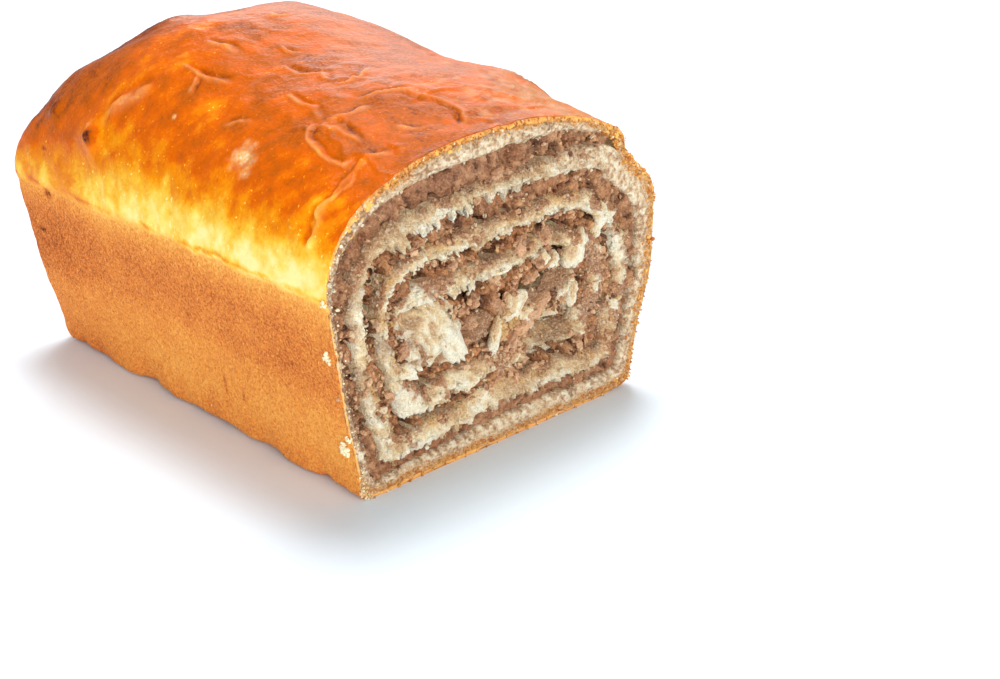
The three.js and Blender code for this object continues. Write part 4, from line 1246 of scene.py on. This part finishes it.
# Clumps of white crumbs on the left wall: height, along, half size of the clump, number of crumbs
WALL_CLUMPS = np.array([
    (34.0, 2.6, 1.0, 22), (12.2, 3.0, 1.3, 34), (15.5, 0.8, 0.7, 12), (46.5, 0.9, 0.8, 14),
    (4.2, 54.8, 0.1, 1),
])
CLUMP_COLOUR = linear(255, 244, 206)
draw = np.random.default_rng(121)
rim_left = ease(-outer_x[0], 36, 44)
rim_chance = 1 - 0.9 * rim_left + ease(8 - outer_z[0], 0, 4)
pick = draw.choice(crust_columns, CRUMB_COUNT, p=rim_chance / rim_chance.sum())
rim_right = ease(outer_x[0, pick], 25, 42)
crumb_inset = 0.1 + draw.uniform(0, 1, CRUMB_COUNT) * (CRUMB_REACH + CRUMB_REACH_RIGHT * rim_right)
crumb_x, crumb_z = drawn_in(outer_x[0, pick], outer_z[0, pick], crumb_inset)
size = sizes_of(draw, CRUMB_COUNT, CRUMB_SIZES) * (1 + LARGER_RIGHT * rim_right)
middles = row_place(crumb_x, draw.uniform(-0.6, 0.0, CRUMB_COUNT), crumb_z)
stretch = size[:, None] * draw.uniform(0.6, 1.5, (CRUMB_COUNT, 3))
crumb_colours = CRUMB_COLOURS[draw.choice(len(CRUMB_COLOURS), CRUMB_COUNT, p=CRUMB_CHANCES)]
crumb_colours = layered(crumb_colours, (CLUMP_COLOUR, rim_left[pick] * draw.uniform(0.3, 1.2, CRUMB_COUNT)))
stuck_z, stuck_along, clump_half, _ = np.repeat(WALL_CLUMPS, WALL_CLUMPS[:, 3].astype(int), axis=0).T
off_z, off_along = clump_half * draw.normal(0, 0.5, (len(stuck_z), 2)).T
stuck_z, stuck_along = stuck_z + off_z, stuck_along + off_along
wall_row = np.argmin(np.abs(outer_along[:, 0] - stuck_along[:, None]), axis=1)
wall_column = np.argmin(np.abs(outer_z[0, :WALL_TOP_COLUMN] - stuck_z[:, None]), axis=1)
stuck_x = outer_x[wall_row, wall_column] - draw.uniform(0, 0.5, len(stuck_z)) * clump_half
stuck_stretch = (0.16 + 0.2 * clump_half[:, None]) * draw.uniform(0.6, 1.4, (len(stuck_z), 3))
crumb_lumps = lumps(np.vstack([middles, row_place(stuck_x, stuck_along, stuck_z)]),
                    np.vstack([stretch, stuck_stretch]), CRUMB_ROUGHNESS, 123, 125)
crumb_colours = np.vstack([crumb_colours, [CLUMP_COLOUR] * len(stuck_z)])
crumb_finish, crumb_nodes = new_finish("loose_crumbs")
crumb_tint = crumb_nodes.attribute("tint", "Color")
crumb_dark = crumb_nodes.blend(1.0, crumb_tint, (0.8, 0.66, 0.48, 1), "MULTIPLY")
crumb_nodes.surface({
    "Base Color": crumb_nodes.blend(-1.5 * crumb_nodes.noise(0.4, 2), crumb_tint, crumb_dark),
    "Roughness": 0.9,
    "Specular IOR Level": 0.2,
})
crumbs = make_piece("crumbs", *joined(crumb_lumps), crumb_finish,
                    {"tint": lump_tints(crumb_colours, crumb_lumps)})
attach(crumbs, "root")

# Floor: a plain pale table top that the loaf stands on, painted and matt. It runs far past the picture on all
# sides, so that no edge of it shows.
FLOOR_HALF = 3000.0
FLOOR_COLOUR = (0.81, 0.91, 1.0, 1)
floor_side = np.linspace(-FLOOR_HALF, FLOOR_HALF, 3)
floor_x, floor_y = np.meshgrid(floor_side, floor_side)
floor_finish, floor_nodes = new_finish("pale_table_top")
floor_nodes.surface({"Base Color": FLOOR_COLOUR, "Roughness": 0.8, "Specular IOR Level": 0.2})
floor = make_piece("floor", np.stack([floor_x, floor_y, 0 * floor_x], -1), grid_faces(3, 3, False),
                   np.zeros((0, 3), int), floor_finish, {})

# Light: soft studio light from four square soft boxes in a pale room. The strongest hangs high at the back
# right, a weak one stands at the left, a slightly warm one in front of the cut, and one behind at the right.
# Soft boxes: name, place and aim in metres, side in metres, watts, colour
SOFT_BOXES = [
    ("top_soft_box", (0.5, 0.5, 2.15), (0, 0, 0.05), 0.8, 40, (1, 1, 1)),
    ("left_soft_box", (-1.2, 0.05, 0.3), (0, 0, 0.05), 0.8, 4.7, (1, 1, 1)),
    ("front_soft_box", (-0.25, -1.12, 0.4), (0, 0, 0.05), 0.8, 9.6, (1, 0.97, 0.92)),
    ("back_soft_box", (0.75, 0.85, 0.6), (0, 0, 0.1), 0.7, 5.4, (1, 1, 1)),
]
ROOM_LIGHT = 0.32
for name, place, aim, side, watts, colour in SOFT_BOXES:
    lamp = bpy.data.lights.new(name, "AREA")
    lamp.size = side
    lamp.energy = watts
    lamp.color = colour
    box = bpy.data.objects.new(name, lamp)
    bpy.context.scene.collection.objects.link(box)
    back = np.subtract(place, aim) / np.linalg.norm(np.subtract(place, aim))
    right = np.cross((0, 0, 1), back) / np.linalg.norm(np.cross((0, 0, 1), back))
    axes = np.stack([right, np.cross(back, right), back, place], axis=1)
    box.matrix_world = Matrix([*axes.tolist(), (0, 0, 0, 1)])
room = bpy.data.worlds.new("pale_room")
room.use_nodes = True
room.node_tree.nodes["Background"].inputs["Color"].default_value = (1, 1, 1, 1)
room.node_tree.nodes["Background"].inputs["Strength"].default_value = ROOM_LIGHT
bpy.context.scene.world = room
bpy.context.scene.view_settings.view_transform = "Standard"

# Camera: at the front left and a little above the loaf, near enough that the walls draw together towards the
# back. Its axes point right, up and back in the picture.
CAMERA_PLACE = (-0.2019, -0.2683, 0.1457)
CAMERA_RIGHT = (0.71345, -0.70070, 0.00241)
CAMERA_UP = (0.27106, 0.27917, 0.92119)
CAMERA_BACK = (-0.64615, -0.65657, 0.38910)
CAMERA_LENS = 49.66
CAMERA_SENSOR = 36.0
view = bpy.data.cameras.new("camera")
view.lens = CAMERA_LENS
view.sensor_width = CAMERA_SENSOR
camera = bpy.data.objects.new("camera", view)
bpy.context.scene.collection.objects.link(camera)
axes = zip(CAMERA_RIGHT, CAMERA_UP, CAMERA_BACK, CAMERA_PLACE)
camera.matrix_world = Matrix([*axes, (0, 0, 0, 1)])
bpy.context.scene.camera = camera
